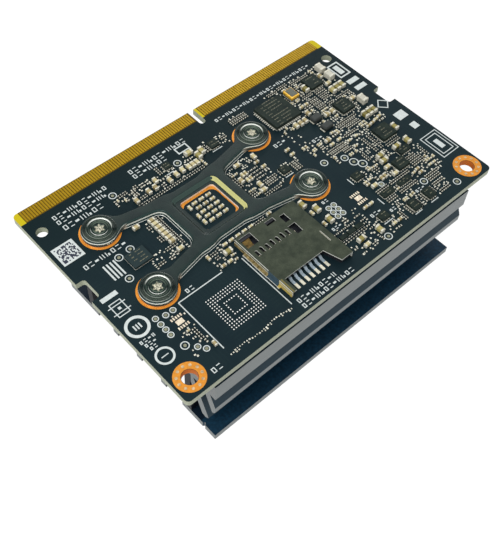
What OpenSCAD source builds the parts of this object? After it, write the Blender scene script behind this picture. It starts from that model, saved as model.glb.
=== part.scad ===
// Compute module: a card-edge circuit board with a stiffening plate and a memory-card
// socket on its upper face, and a processor held against a finned heatsink below it.
// Origin: under the middle of the board, on the plane the heatsink flanges rest on.

/* [Board] */
// Length of the board along its contact edge
board_l = 69.6; // [68.6:0.1:72]
// Depth of the board, from the contact edge to the fixing edge
board_d = 45; // [44.6:0.1:48]
// Thickness of the board
board_t = 1.2; // [0.8:0.1:1.6]
// Radius of the board's corners
board_corner_r = 0.8; // [0.3:0.1:1.2]
// Length of the catch notch in each short edge
catch_l = 4.2; // [3:0.1:5]
// Depth of the catch notch in each short edge
catch_d = 1.6; // [1:0.1:2]
// Distance from the contact edge to the middle of the catch notches
catch_y = 20; // [19:0.1:21]
// Corner radius inside the catch notches
catch_r = 0.6; // [0.3:0.1:0.8]

/* [Card edge] */
// Pitch of the contacts
contact_pitch = 0.5; // [0.5:0.05:0.8]
// Width of one contact
contact_w = 0.35; // [0.25:0.01:0.4]
// Length of one contact
contact_l = 2.45; // [2:0.05:2.8]
// Thickness of the plating of contacts and rings
plate_t = 0.04; // [0.03:0.01:0.06]
// Distance from the board's edge to the contacts' ends
contact_inset = 0.12; // [0.05:0.01:0.3]
// Bare stretch between a short edge and the first contact
contact_margin = 1; // [0.8:0.1:2]
// Width of the key slot
key_w = 1.3; // [1:0.1:1.6]
// Length of the key slot, to the bottom of its round end
key_l = 3.9; // [3:0.1:4]
// Distance from the left short edge to the key slot's centre line
key_x = 38.15; // [37:0.05:39]
// Bare stretch on the key slot's left side
key_gap_left = 0.15; // [0.1:0.05:0.5]
// Bare stretch on the key slot's right side
key_gap_right = 0.5; // [0.3:0.05:0.8]

/* [Fixing holes] */
// Diameter of the two fixing holes
fixing_d = 2.6; // [2.2:0.1:2.8]
// Distance from the short edges to the fixing holes
fixing_x = 2.95; // [2.8:0.05:3.2]
// Distance from the fixing edge to the fixing holes
fixing_y = 3.1; // [2.9:0.05:3.3]
// Outer diameter of the plated ring round a fixing hole
fixing_ring_d = 5.1; // [4.6:0.1:5.4]
// Number of plated vias in each ring
ring_vias = 11; // [6:1:12]
// Diameter of a plated via
via_d = 0.5; // [0.3:0.05:0.6]
// Diameter of the two locating holes near the contact edge
locating_d = 2; // [1.6:0.1:2.2]
// Distance from the short edges to the locating holes
locating_x = 1.9; // [1.8:0.05:2.1]
// Distance from the contact edge to the locating holes
locating_y = 5.9; // [5.5:0.05:6.5]

/* [Backplate] */
// Distance from the board's middle to the backplate's middle, along the contact edge
plate_x = -9.2; // [-9.6:0.05:-9]
// Distance from the board's middle to the backplate's middle, towards the contact edge
plate_y = 2.9; // [2.7:0.05:3.1]
// Spacing of the backplate screws along the contact edge
screw_dx = 33.3; // [33:0.1:33.8]
// Spacing of the backplate screws across the board
screw_dy = 15; // [14.6:0.1:15.4]
// Width of the backplate's raised middle
body_w = 13.6; // [13.2:0.1:13.9]
// Depth of the backplate's raised middle
body_d = 12.8; // [12.4:0.1:13]
// Shift of the raised middle from the screws' middle, along the contact edge
body_shift_x = 0.25; // [0:0.05:0.4]
// Shift of the raised middle from the screws' middle, towards the contact edge
body_shift_y = -0.1; // [-0.2:0.05:0.1]
// Height of the raised middle above the board
body_h = 1; // [0.9:0.05:1.2]
// Thickness of the backplate's sheet
sheet_t = 0.4; // [0.3:0.05:0.45]
// Width of the backplate's arms
arm_w = 2.1; // [1.8:0.1:2.4]
// Radius of the blends where the arms meet the raised middle
arm_blend_r = 1.2; // [0.6:0.1:1.6]
// Diameter of the ears under the screws
ear_d = 6.4; // [6:0.1:6.6]
// Width of the pressed pan's opening
pan_w = 9.4; // [9.2:0.1:9.8]
// Width of the pan's floor
pan_floor_w = 8.3; // [8.1:0.1:8.6]
// Width of the window in the pan's floor
window_w = 7.3; // [7:0.1:7.5]
// Width of the plated strip that shows along the window's edge nearest the contacts
window_strip_w = 0.45; // [0.3:0.05:0.6]
// Outer diameter of the plated rings under the ears
pad_ring_d = 7; // [6.6:0.1:7.2]

/* [Screws] */
// Diameter of the screw shanks
shank_d = 2.5; // [2:0.1:2.8]
// Length of the screw shanks below the head
shank_l = 5.15; // [4.6:0.05:5.5]
// Diameter of the screw heads' flange
head_d = 5.4; // [5:0.1:5.6]
// Height of the screw heads
head_h = 0.35; // [0.3:0.05:0.5]
// Thickness of the screw heads' flange
flange_h = 0.1; // [0.05:0.05:0.15]
// Depth of the star recess in the heads
star_depth = 0.4; // [0.3:0.05:0.5]
// Width of the star recess across its points
star_w = 2.1; // [1.8:0.1:2.4]

/* [Heatsink] */
// Length of the heatsink along the contact edge
sink_l = 59; // [56:0.5:60]
// Depth of the heatsink across the board
sink_d = 40.2; // [39.6:0.1:41]
// Height of the heatsink
sink_h = 18; // [16:0.5:22]
// Distance from the board's middle to the heatsink's middle, towards the fixing edge
sink_y = 2.3; // [2.2:0.05:2.5]
// Thickness of the heatsink's base
base_t = 3.85; // [3.6:0.05:5]
// Gap between the board and the heatsink's base
base_gap = 1; // [0.8:0.1:1.2]
// Depth of the pocket that clears the chips under the board
pocket_d = 0.5; // [0.4:0.1:0.8]
// Pitch of the upright fins
fin_pitch = 6.7; // [6.4:0.05:6.9]
// Thickness of the fins
fin_t = 1.4; // [1:0.1:1.6]
// How far the two flanges reach in past the outer upright fins
flange_lip = 1; // [0:0.1:2]
// Thickness of the two flanges
sink_flange_t = 1.4; // [1:0.1:2]
// Slant of the vanes from upright, in degrees
vane_angle = 20.5; // [18:0.5:22]
// Thickness of the slanted vanes, measured level
vane_t = 1.5; // [1.3:0.1:1.7]
// Drop of the outer vane below the base
outer_vane_drop = 5.3; // [4.5:0.1:6]
// Drop of the inner vane below the base
inner_vane_drop = 9.45; // [8:0.05:10]
// Distance from the heatsink's face to the outer vane's root
outer_vane_in = 2; // [1.8:0.1:2.3]
// Distance from the heatsink's face to the inner vane's root
inner_vane_in = 5.95; // [5.7:0.05:6.2]
// Spacing of the four fan screw holes, both ways
fan_spacing = 32; // [31:0.1:32.6]
// Shift of the fan screw holes from the heatsink's middle, towards the contact edge
fan_shift = 0.7; // [0.6:0.1:1.2]
// Diameter of the fan screw holes
fan_hole_d = 2.5; // [2.4:0.1:2.6]
// Diameter of the posts that the screws enter
post_d = 5.6; // [4.8:0.1:6]
// Clearance round the screw shanks
thread_gap = 0.03; // [0.02:0.01:0.08]

/* [Chips under the board] */
// Width and depth of the processor package
processor_w = 23; // [20:0.5:24]
// Thickness of the processor package
processor_t = 1.2; // [1:0.05:1.25]
// Width of a memory package
memory_w = 14.5; // [12:0.1:15]
// Depth of a memory package
memory_d = 10; // [9:0.1:11]
// Thickness of a memory package
memory_t = 1; // [0.8:0.05:1.1]
// Gap between the two memory packages
memory_gap = 2; // [1:0.1:3]

/* [Card socket] */
// Width of the socket's shell
socket_w = 12.9; // [12.8:0.05:13.1]
// Length of the socket from its mouth to its deep end
socket_l = 14.1; // [14:0.05:14.3]
// Height of the shell above the board
socket_h = 1.35; // [1.3:0.05:1.6]
// Thickness of the shell's sheet
shell_t = 0.2; // [0.15:0.01:0.22]
// Distance from the backplate's middle to the socket's left side
socket_x = 1.8; // [1.5:0.05:2.2]
// Gap between the backplate's raised middle and the socket's deep end
socket_gap = 2.1; // [1.9:0.05:2.3]
// Thickness of the socket's moulded floor
floor_t = 0.35; // [0.3:0.01:0.4]
// Pitch of the socket's contacts
card_pitch = 1.1; // [1:0.01:1.12]
// Width of the socket's contacts
card_contact_w = 0.5; // [0.4:0.05:0.6]
// Number of the socket's contacts
card_contacts = 8; // [6:1:8]
// Width of the latch slider
slider_w = 1; // [0.8:0.05:1.05]
// Length of the latch slider
slider_l = 6; // [5:0.1:6.4]
// Travel of the latch slider past its rest place
slider_travel = 1.2; // [0.8:0.1:1.4]
// Running clearance round the latch slider
slider_gap = 0.05; // [0.03:0.01:0.08]
// Number of turns in the latch spring
spring_turns = 7; // [4:1:9]

/* [Small parts] */
// Length, width and height of a small capacitor
cap_small = [1, 0.55, 0.5]; // [0.3:0.05:1.2]
// Length, width and height of a medium capacitor
cap_medium = [1.25, 0.8, 0.6]; // [0.4:0.05:1.4]
// Length, width and height of a large capacitor
cap_large = [1.6, 1, 0.8]; // [0.5:0.05:1.7]
// Length, width and height of a chip resistor
resistor = [0.6, 0.3, 0.25]; // [0.2:0.05:0.7]
// Diameter of the round pads under the unfitted chip
ball_d = 0.26; // [0.2:0.02:0.36]
// Pitch of the round pads under the unfitted chip
ball_pitch = 0.5; // [0.45:0.01:0.55]
// Thickness of the printed marks
print_t = 0.03; // [0.02:0.01:0.05]
// Width of the printed lines
line_w = 0.18; // [0.12:0.02:0.26]

/* [Hidden] */

$fn = 48;
overlap = 0.01;
half_l = board_l / 2;
half_d = board_d / 2;
board_z0 = sink_h + base_gap;
board_z1 = board_z0 + board_t;
key_centre = key_x - half_l;
catch_centre = half_d - catch_y;
fixing_at = [half_l - fixing_x, -half_d + fixing_y];
locating_at = [half_l - locating_x, half_d - locating_y];
screw_hole_d = shank_d + 0.4;
ear_z = board_z1 + plate_t;
ear_top = board_z1 + body_h;
body_at = [plate_x + body_shift_x, plate_y + body_shift_y];
body_left = body_at.x - body_w / 2;
body_right = body_at.x + body_w / 2;
body_front = body_at.y - body_d / 2;
body_rear = body_at.y + body_d / 2;
arm_angle = 11;
arm_root = 0.6;
pocket_z = sink_h - pocket_d;
socket_x0 = plate_x - socket_x;
socket_y0 = body_front - socket_gap - socket_l;

// The four backplate screws stand at these places
screw_places = [for (sx = [-1, 1], sy = [-1, 1])
    [plate_x + sx * screw_dx / 2, plate_y + sy * screw_dy / 2]];

// A rectangle with round corners, centred
module round_rect(l, w, r) {
    square([l - 2 * r, w], center = true);
    square([l, w - 2 * r], center = true);
    for (sx = [-1, 1], sy = [-1, 1])
        translate([sx * (l / 2 - r), sy * (w / 2 - r)]) circle(r);
}

// A flat ring with a square section
module flat_ring(outer, inner, t) {
    difference() {
        cylinder(d = outer, h = t);
        translate([0, 0, -t]) cylinder(d = inner, h = 3 * t);
    }
}

// A hollow rectangle of printed line
module print_frame(l, w, line = line_w) {
    difference() {
        square([l, w], center = true);
        square([l - 2 * line, w - 2 * line], center = true);
    }
}

// A chip capacitor: a ceramic body between two slightly thicker metal ends
module capacitor(size, turned = false, wrap = 0.02, end_share = 0.22) {
    rotate(turned ? 90 : 0) {
        translate([0, 0, size.z / 2])
            cube([size.x - wrap, size.y - 2 * wrap, size.z - 2 * wrap], center = true);
        for (s = [-1, 1])
            translate([s * size.x * (1 - end_share) / 2, 0, size.z / 2])
                cube([size.x * end_share, size.y, size.z], center = true);
    }
}

module capacitors_at(places, size, turned = false) {
    for (p = places)
        translate([p.x, p.y, board_z1]) capacitor(size, turned);
}

// Rows of chip resistors: each row is [x, y, step x, step y, count, turned]
module resistor_rows(rows) {
    for (row = rows, i = [0:row[4] - 1])
        translate([row[0] + i * row[2], row[1] + i * row[3], board_z1])
            rotate(row[5] ? 90 : 0)
                translate([0, 0, resistor.z / 2]) cube(resistor, center = true);
}

// A flat chip package with a bevelled corner mark on its top
module package(size, mark = 0.25) {
    difference() {
        translate([0, 0, size.z / 2]) cube(size, center = true);
        translate([mark * 2 - size.x / 2, size.y / 2 - mark * 2, size.z - 0.05])
            cylinder(d = mark, h = 1);
    }
}

module packages_at(places, size) {
    for (p = places)
        translate([p.x, p.y, board_z1]) package(size);
}

// Board

module board_outline() {
    difference() {
        round_rect(board_l, board_d, board_corner_r);
        translate([key_centre, half_d - key_l + key_w / 2]) {
            circle(d = key_w);
            translate([-key_w / 2, 0]) square([key_w, key_l]);
        }
        for (s = [-1, 1])
            translate([s * half_l, catch_centre])
                round_rect(2 * catch_d, catch_l, catch_r);
    }
}

module circuit_board() {
    color([0.12, 0.19, 0.23])
        difference() {
            translate([0, 0, board_z0]) linear_extrude(board_t) board_outline();
            for (s = [-1, 1]) {
                translate([s * fixing_at.x, fixing_at.y, board_z0 - 1])
                    cylinder(d = fixing_d, h = board_t + 2);
                translate([s * locating_at.x, locating_at.y, board_z0 - 1])
                    cylinder(d = locating_d, h = board_t + 2);
            }
            for (p = screw_places)
                translate([p.x, p.y, board_z0 - 1])
                    cylinder(d = screw_hole_d, h = board_t + 2);
        }
}

function run_count(length) = floor(length / contact_pitch + 0.001);

// One run of contacts that starts at x and fills the length
module contact_run(x, length) {
    n = run_count(length);
    slack = (length - n * contact_pitch) / 2;
    for (i = [0:n - 1])
        translate([x + slack + (i + 0.5) * contact_pitch - contact_w / 2,
                   half_d - contact_inset - contact_l, 0])
            cube([contact_w, contact_l, plate_t]);
}

module edge_contacts() {
    left = -half_l + contact_margin;
    key_left = key_centre - key_w / 2 - key_gap_left;
    key_right = key_centre + key_w / 2 + key_gap_right;
    contact_run(left, key_left - left);
    contact_run(key_right, half_l - contact_margin - key_right);
}

module upper_edge_contacts() {
    color([0.80, 0.60, 0.16]) translate([0, 0, board_z1]) edge_contacts();
}

module lower_edge_contacts() {
    color([0.80, 0.60, 0.16]) translate([0, 0, board_z0 - plate_t]) edge_contacts();
}

module fixing_hole_rings() {
    color([0.90, 0.58, 0.16])
        for (s = [-1, 1], z = [board_z1, board_z0 - plate_t])
            translate([s * fixing_at.x, fixing_at.y, z])
                flat_ring(fixing_ring_d, fixing_d + 0.1, plate_t);
}

module ring_vias() {
    reach = (fixing_ring_d + fixing_d) / 4 + 0.05;
    color([0.86, 0.82, 0.62])
        for (s = [-1, 1], i = [0:ring_vias - 1])
            translate([s * fixing_at.x, fixing_at.y, board_z1 + plate_t])
                rotate(360 * (i + 0.5) / ring_vias)
                    translate([reach, 0, 0]) cylinder(d = via_d, h = plate_t, $fn = 16);
}

module backplate_pad_rings() {
    color([0.90, 0.55, 0.15])
        for (p = screw_places)
            translate([p.x, p.y, board_z1])
                flat_ring(pad_ring_d, screw_hole_d + 0.1, plate_t);
}

module window_pad_frame() {
    under = 0.45;
    side_strip = 0.2;
    near_strip = 0.1;
    bare_l = window_w - side_strip;
    bare_w = window_w - window_strip_w - near_strip;
    color([0.90, 0.50, 0.22])
        translate([body_at.x, body_at.y, board_z1])
            linear_extrude(plate_t)
                difference() {
                    round_rect(window_w + 2 * under, window_w + 2 * under, 0.9);
                    translate([-side_strip / 2, (near_strip - window_strip_w) / 2])
                        round_rect(bare_l, bare_w, 1.3);
                }
}

// Backplate

// Fills the inner corner between an arm and the raised middle with a round blend. The frame is
// the ear's, reach is the way from there to the middle's side, and all is inset by d
module arm_blend(reach, d) {
    half_w = arm_w / 2 - d;
    r = arm_blend_r + d;
    along = (reach + d + half_w * sin(arm_angle)) / cos(arm_angle);
    corner = [-reach - d, -along * sin(arm_angle) - half_w * cos(arm_angle)];
    middle = corner + [r, -r / tan(45 + arm_angle / 2)];
    steps = 7;
    turn = 90 - arm_angle;
    polygon(concat([corner + [-half_w / 2, half_w / 2]],
                   [for (i = [0:steps]) let (a = 180 - turn * i / steps)
                       middle + r * [cos(a), sin(a)]]));
}

// The raised part seen from above, inset all round by d
module raised_outline(d) {
    translate([body_at.x, body_at.y])
        square([body_w - 2 * d, body_d - 2 * d], center = true);
    for (sx = [-1, 1], sy = [-1, 1])
        translate([plate_x + sx * screw_dx / 2, plate_y + sy * screw_dy / 2])
            mirror([sx < 0 ? 1 : 0, 0]) mirror([0, sy < 0 ? 1 : 0]) {
                rotate(180 + arm_angle)
                    translate([ear_d / 2 - arm_root + d, -arm_w / 2 + d])
                        square([screw_dx / 2 - ear_d / 2 - body_w / 4 + 2 * arm_root,
                                arm_w - 2 * d]);
                arm_blend(screw_dx / 2 - body_w / 2 - sx * body_shift_x, d);
            }
}

// The pressed pan, from its floor at z to the raised top, grown by g
module pan_form(z, g) {
    hull() {
        translate([body_at.x, body_at.y, z])
            linear_extrude(overlap) round_rect(pan_floor_w + g, pan_floor_w + g, 0.7, $fn = 24);
        translate([body_at.x, body_at.y, board_z1 + body_h - overlap])
            linear_extrude(overlap) round_rect(pan_w + g, pan_w + g, 1, $fn = 24);
    }
}

module backplate() {
    color([0.16, 0.20, 0.20])
        difference() {
            union() {
                difference() {
                    translate([0, 0, ear_z])
                        linear_extrude(ear_top - ear_z) raised_outline(0);
                    translate([0, 0, ear_z - overlap])
                        linear_extrude(ear_top - ear_z - sheet_t + overlap)
                            raised_outline(sheet_t);
                }
                pan_form(ear_z, 0.5);
                for (p = screw_places)
                    translate([p.x, p.y, ear_z]) cylinder(d = ear_d, h = ear_top - ear_z);
            }
            translate([0, 0, sheet_t]) pan_form(ear_z, 0);
            translate([body_at.x, body_at.y, ear_z - 1])
                linear_extrude(3) round_rect(window_w, window_w, 0.7);
            for (p = screw_places)
                translate([p.x, p.y, ear_z - 1]) cylinder(d = screw_hole_d, h = 3);
        }
}

module star_recess() {
    translate([0, 0, head_h - star_depth]) {
        cylinder(d = star_w * 0.7, h = 1);
        for (i = [0:5])
            rotate(i * 60) translate([star_w * 0.36, 0, 0])
                cylinder(d = star_w * 0.26, h = 1, $fn = 16);
    }
}

module backplate_screws() {
    groove_d = head_d * 0.58;
    color([0.72, 0.72, 0.68])
        for (p = screw_places)
            translate([p.x, p.y, ear_top])
                difference() {
                    union() {
                        translate([0, 0, -shank_l]) cylinder(d = shank_d, h = shank_l + 0.1);
                        cylinder(d = head_d, h = flange_h);
                        translate([0, 0, flange_h])
                            cylinder(d1 = head_d * 0.86, d2 = head_d * 0.8,
                                     h = head_h - flange_h);
                    }
                    translate([0, 0, head_h - 0.15]) flat_ring(groove_d, groove_d - 0.5, 1);
                    star_recess();
                }
}

// Heatsink

// One slanted vane, in from the heatsink's face, with the points of its tip from its inner
// corner outwards, measured from that corner at the vane's full drop
module vane(in, drop, tip) {
    root = sink_d / 2 - in;
    top = sink_h - base_t;
    corner = [root - vane_t / 2 + drop * tan(vane_angle), top - drop];
    polygon(concat([[root - vane_t / 2, top + overlap]], [for (p = tip) corner + p],
                   [[root + vane_t / 2, top + overlap]]));
}

outer_vane_tip = [[0, 0], [0.4, 0.3], [0.75, 0.95], [1, 1.8]];
inner_vane_tip = [[0, 0.25], [0.85, 0], [1.55, 0.65]];
flange_in = 2 * fin_pitch - fin_t / 2 - flange_lip;

// The extruded section, drawn across the board and upwards
module sink_section() {
    intersection() {
        translate([-sink_d / 2, 0]) square([sink_d, sink_h]);
        union() {
            translate([-sink_d / 2, sink_h - base_t]) square([sink_d, base_t]);
            for (i = [-2:2])
                translate([i * fin_pitch - fin_t / 2, 0])
                    square([fin_t, sink_h - base_t + overlap]);
            for (s = [0, 1])
                mirror([s, 0]) {
                    translate([flange_in, 0])
                        square([sink_d / 2 - flange_in, sink_flange_t]);
                    vane(outer_vane_in, outer_vane_drop, outer_vane_tip);
                    vane(inner_vane_in, inner_vane_drop, inner_vane_tip);
                }
        }
    }
}

pocket_x0 = plate_x - processor_w / 2 - 1.2;
memory_x = plate_x + screw_dx / 2 + post_d / 2 + 1 + memory_w / 2;
pocket_x1 = memory_x + memory_w / 2 + 1.2;
pocket_w_y = max(processor_w, 2 * memory_d + memory_gap) + 2.4;

module heatsink() {
    nick_r = 0.3;
    screw_bottom = ear_top - shank_l - 0.3;
    color([0.14, 0.18, 0.24])
        difference() {
            union() {
                difference() {
                    translate([-sink_l / 2, -sink_y, 0])
                        rotate([90, 0, 90]) linear_extrude(sink_l) sink_section();
                    translate([pocket_x0, plate_y - pocket_w_y / 2, pocket_z])
                        cube([pocket_x1 - pocket_x0, pocket_w_y, pocket_d + 1]);
                }
                for (p = screw_places)
                    translate([p.x, p.y, pocket_z - 0.5])
                        cylinder(d = post_d, h = board_z0 - pocket_z + 0.5);
            }
            for (p = screw_places)
                translate([p.x, p.y, screw_bottom])
                    cylinder(d = shank_d + 2 * thread_gap, h = sink_h);
            for (sx = [-1, 1], sy = [-1, 1])
                translate([sx * fan_spacing / 2, fan_shift - sink_y + sy * fan_spacing / 2, -1])
                    cylinder(d = fan_hole_d, h = sink_flange_t + 2);
            translate([-sink_l / 2, -sink_y - sink_d / 2 + 2.8, -1])
                cylinder(r = nick_r, h = sink_flange_t + 2);
        }
}

// Chips between the board and the heatsink

module processor_package() {
    color([0.18, 0.28, 0.20])
        translate([plate_x, plate_y, board_z0 - processor_t / 2])
            cube([processor_w, processor_w, processor_t], center = true);
}

module processor_thermal_pad() {
    pad_t = board_z0 - processor_t - pocket_z;
    color([0.62, 0.64, 0.66])
        translate([plate_x, plate_y, pocket_z + pad_t / 2])
            cube([processor_w * 0.7, processor_w * 0.7, pad_t], center = true);
}

memory_places = [for (s = [-1, 1]) [memory_x, plate_y + s * (memory_d + memory_gap) / 2]];

module memory_chips() {
    color([0.10, 0.10, 0.11])
        for (p = memory_places)
            translate([p.x, p.y, board_z0 - memory_t / 2])
                cube([memory_w, memory_d, memory_t], center = true);
}

module memory_thermal_pads() {
    pad_t = board_z0 - memory_t - pocket_z;
    inset = 1;
    color([0.45, 0.55, 0.62])
        for (p = memory_places)
            translate([p.x, p.y, pocket_z + pad_t / 2])
                cube([memory_w - inset, memory_d - inset, pad_t], center = true);
}

// Card socket. Its own frame: x from its left side, y from its mouth, z from the board

mouth_step = 3.3;
left_leg_w = 0.95;
foot_w = 3;
shell_in = shell_t + 0.05;
slot_top = socket_h - shell_t;
slider_x = socket_w - shell_in - slider_gap - slider_w;
slider_rail_x = slider_x - slider_gap;
slider_z = floor_t + slider_gap;
slider_h = slot_top - slider_gap - slider_z;
slider_y = socket_l - 1.2 - slider_travel - 3.1 - slider_l;
contact_x0 = 1.05;
rear_bar_y = socket_l - shell_in - 0.7;

module in_socket() {
    translate([socket_x0, socket_y0, board_z1]) children();
}

// The socket seen from above, inset from the shell's outside by d
module socket_outline(d) {
    polygon([[d, 0.6 + d], [left_leg_w - d, 0.6 + d], [left_leg_w - d, mouth_step + d],
             [socket_w - foot_w - 0.5 + d, mouth_step + d], [socket_w - foot_w + 0.5 + d, d],
             [socket_w - d, d], [socket_w - d, socket_l - d], [d, socket_l - d]]);
}

module shell_windows() {
    slot_l = 1.3;
    for (i = [0:card_contacts - 2])
        translate([contact_x0 + i * card_pitch, 9.7 + 0.12 * (i % 2)]) {
            translate([-0.28, -slot_l / 2]) square([0.56, slot_l - 0.28]);
            translate([0, slot_l / 2 - 0.28]) circle(d = 0.56, $fn = 24);
        }
    translate([0.5, 11.35]) square([2.4, 2.4]);
    translate([6, 12.7]) square([1.9, 0.9]);
    translate([8.8, 11.3]) square([1.1, 1.7]);
    polygon([[8.35, 10.5], [10, 10.5], [9.9, 8.4], [8.75, 8.4]]);
    translate([11.65, 3.9]) square([0.25, 2.6]);
}

module socket_shell() {
    tab_w = 0.45;
    color([0.42, 0.42, 0.34])
        in_socket() {
            difference() {
                linear_extrude(socket_h) socket_outline(0);
                translate([0, 0, -overlap])
                    linear_extrude(socket_h - shell_t + overlap) {
                        translate([shell_t, -1])
                            square([socket_w - 2 * shell_t, socket_l - shell_t + 1]);
                    }
                translate([0, 0, socket_h - 1]) linear_extrude(2) shell_windows();
            }
            for (y = [3.6, 9.4])
                translate([-tab_w, y, 0]) cube([tab_w + shell_t, 2.2, shell_t]);
            translate([socket_w - shell_t, 2.2, 0]) cube([tab_w + shell_t, 2.2, shell_t]);
        }
}

module socket_housing() {
    wall = 0.5;
    rail_w = slider_rail_x - 10.9;
    color([0.10, 0.10, 0.12])
        in_socket() {
            difference() {
                linear_extrude(floor_t)
                    intersection() {
                        socket_outline(shell_in);
                        translate([shell_in, shell_in])
                            square([socket_w - 2 * shell_in, socket_l - 2 * shell_in]);
                    }
                for (i = [0:card_contacts - 1])
                    translate([contact_x0 + i * card_pitch - card_contact_w / 2 - 0.05, 8.4, -1])
                        cube([card_contact_w + 0.1, 2.4, 3]);
            }
            translate([shell_in, rear_bar_y, 0])
                cube([socket_w - 2 * shell_in, 0.7, slot_top - 0.02]);
            translate([shell_in, mouth_step + 0.6, 0])
                cube([0.3, rear_bar_y - mouth_step, slot_top - 0.02]);
            translate([slider_x + slider_gap, shell_in, 0])
                cube([slider_w - 2 * slider_gap, slider_y - shell_in, slot_top - 0.02]);
        }
}

// A sprung contact: tail on the board, riser, beam on the floor and a raised tip
module socket_contact() {
    t = 0.12;
    tip = slot_top - 0.2;
    rotate([90, 0, 90])
        translate([0, 0, -card_contact_w / 2])
            linear_extrude(card_contact_w)
                polygon([[1.05, 0], [2.9, 0], [3.35, floor_t], [8.7, floor_t],
                         [9.5, tip - t], [10, tip - t], [10.5, floor_t + 0.25],
                         [10.6, floor_t + 0.35], [10.1, tip], [9.4, tip],
                         [8.6, floor_t + t], [3.25, floor_t + t], [2.8, t], [1.05, t]]);
}

module socket_contacts() {
    color([0.85, 0.84, 0.78])
        in_socket()
            for (i = [0:card_contacts - 1])
                translate([contact_x0 + i * card_pitch, 0, 0]) socket_contact();
}

module card_detect_leaf() {
    leaf_t = 0.1;
    color([0.72, 0.52, 0.22])
        in_socket()
            translate([0.75, 0, 0])
                rotate([90, 0, 90])
                    linear_extrude(1.5)
                        polygon([[11.4, floor_t], [12.2, floor_t], [13, 0.8], [rear_bar_y, 0.85],
                                 [rear_bar_y, 0.85 + leaf_t], [12.95, 0.8 + leaf_t],
                                 [12.15, floor_t + leaf_t], [11.4, floor_t + leaf_t]]);
}

module latch_slider() {
    finger = 0.8;
    color([0.86, 0.84, 0.76])
        in_socket()
            translate([slider_x, slider_y, slider_z]) {
                difference() {
                    cube([slider_w, slider_l, slider_h]);
                    translate([slider_w * 0.35, 1.2, slider_h - 0.2])
                        cube([slider_w * 0.3, 2.6, 1]);
                }
                translate([-finger, slider_l - 0.9, 0]) cube([finger + 0.1, 0.6, slider_h]);
            }
}

// Points of the latch spring's helix, and the tube swept along it
spring_r = 0.24;
wire_r = 0.06;
spring_y0 = slider_y + slider_l + wire_r;
spring_y1 = rear_bar_y - wire_r;
ring_steps = 12;
wire_sides = 6;
spring_rings = spring_turns * ring_steps;

function helix(i) = let (a = 360 * i / ring_steps, s = i / spring_rings)
    [spring_r * cos(a), spring_y0 + s * (spring_y1 - spring_y0), spring_r * sin(a)];
function wire_point(i, j) = let (a = 360 * i / ring_steps, b = 360 * j / wire_sides,
                                 c = helix(i), r = wire_r * cos(b))
    [c.x + r * cos(a), c.y + wire_r * sin(b), c.z + r * sin(a)];

module latch_spring() {
    points = [for (i = [0:spring_rings], j = [0:wire_sides - 1]) wire_point(i, j)];
    sides = [for (i = [0:spring_rings - 1], j = [0:wire_sides - 1])
        let (k = (j + 1) % wire_sides)
        [i * wire_sides + j, (i + 1) * wire_sides + j,
         (i + 1) * wire_sides + k, i * wire_sides + k]];
    first = [for (j = [0:wire_sides - 1]) j];
    last = [for (j = [wire_sides - 1:-1:0]) spring_rings * wire_sides + j];
    color([0.70, 0.70, 0.72])
        in_socket()
            translate([slider_x + slider_w / 2, 0, slider_z + slider_h / 2])
                polyhedron(points, concat(sides, [first, last]));
}

// Chips on the upper face

module network_controller() {
    size = [6.2, 6.2, 0.85];
    pad = [0.4, 0.2, 0.12];
    pads = 12;
    color([0.13, 0.14, 0.14])
        translate([15.1, 11.7, board_z1]) {
            package(size);
            for (turn = [0:3], i = [0:pads - 1])
                rotate(90 * turn)
                    translate([size.x / 2 - overlap, (i - (pads - 1) / 2) * 0.46 - pad.y / 2, 0])
                        cube(pad);
        }
}

module power_controllers() {
    color([0.13, 0.14, 0.15]) {
        packages_at([[25.6, 13.3], [25.6, 5]], [3, 3, 0.8]);
        packages_at([[26.4, -4.4]], [3.4, 3.2, 0.8]);
        packages_at([[22.9, -11.5]], [2.6, 2.2, 0.8]);
        packages_at([[-24.3, 2.2]], [3.6, 3, 0.6]);
    }
}

module logic_chips() {
    color([0.12, 0.12, 0.13]) {
        packages_at([[25.9, -9.6], [16.2, -14.5]], [2.6, 1.3, 0.6]);
        packages_at([[20.4, -14.6]], [3, 1, 0.5]);
        packages_at([[17.6, -19.4], [21.5, -19.2]], [1.6, 2.2, 0.6]);
        packages_at([[11.8, -17.6], [14.9, -8.6], [0.9, 13.3], [6.4, 0.7]], [1.8, 1.6, 0.6]);
        packages_at([[-8.6, 14.6]], [1.4, 1.4, 0.5]);
    }
}

module crystal() {
    size = [2, 2.5, 0.9];
    lid = [1.6, 2.1, 0.12];
    color([0.80, 0.62, 0.20])
        translate([20.3, 13.5, board_z1]) {
            translate([0, 0, (size.z - lid.z) / 2])
                cube([size.x, size.y, size.z - lid.z], center = true);
            translate([0, 0, size.z - lid.z / 2 - overlap / 2])
                cube([lid.x, lid.y, lid.z + overlap], center = true);
        }
}

module power_inductors() {
    size = [2.4, 1.5, 1];
    color([0.20, 0.20, 0.19])
        for (p = [[19.4, 6], [19.5, 3.3]])
            translate([p.x, p.y, board_z1])
                linear_extrude(size.z) round_rect(size.x, size.y, 0.4);
}

module diode_arrays() {
    color([0.14, 0.14, 0.14])
        for (i = [0:2])
            translate([3.6 + 1.8 * i, -16.3, board_z1 + 0.225])
                cube([1.6, 0.8, 0.45], center = true);
}

// Chip site left unfitted, between the left edge and the socket
site_at = [socket_x0 - 7.4, socket_y0 + 5.45];
ball_rows = 14;

module unfitted_chip_pads() {
    reach = (ball_rows - 1) / 2;
    color([0.78, 0.78, 0.76])
        for (i = [0:ball_rows - 1], j = [0:ball_rows - 1]) {
            ring = max(abs(i - reach), abs(j - reach));
            if (ring > 4 || (ring > 2 && ring < 3))
                translate([site_at.x + (i - reach) * ball_pitch,
                           site_at.y + (j - reach) * ball_pitch, board_z1])
                    cylinder(d = ball_d, h = plate_t, $fn = 14);
        }
}

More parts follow.
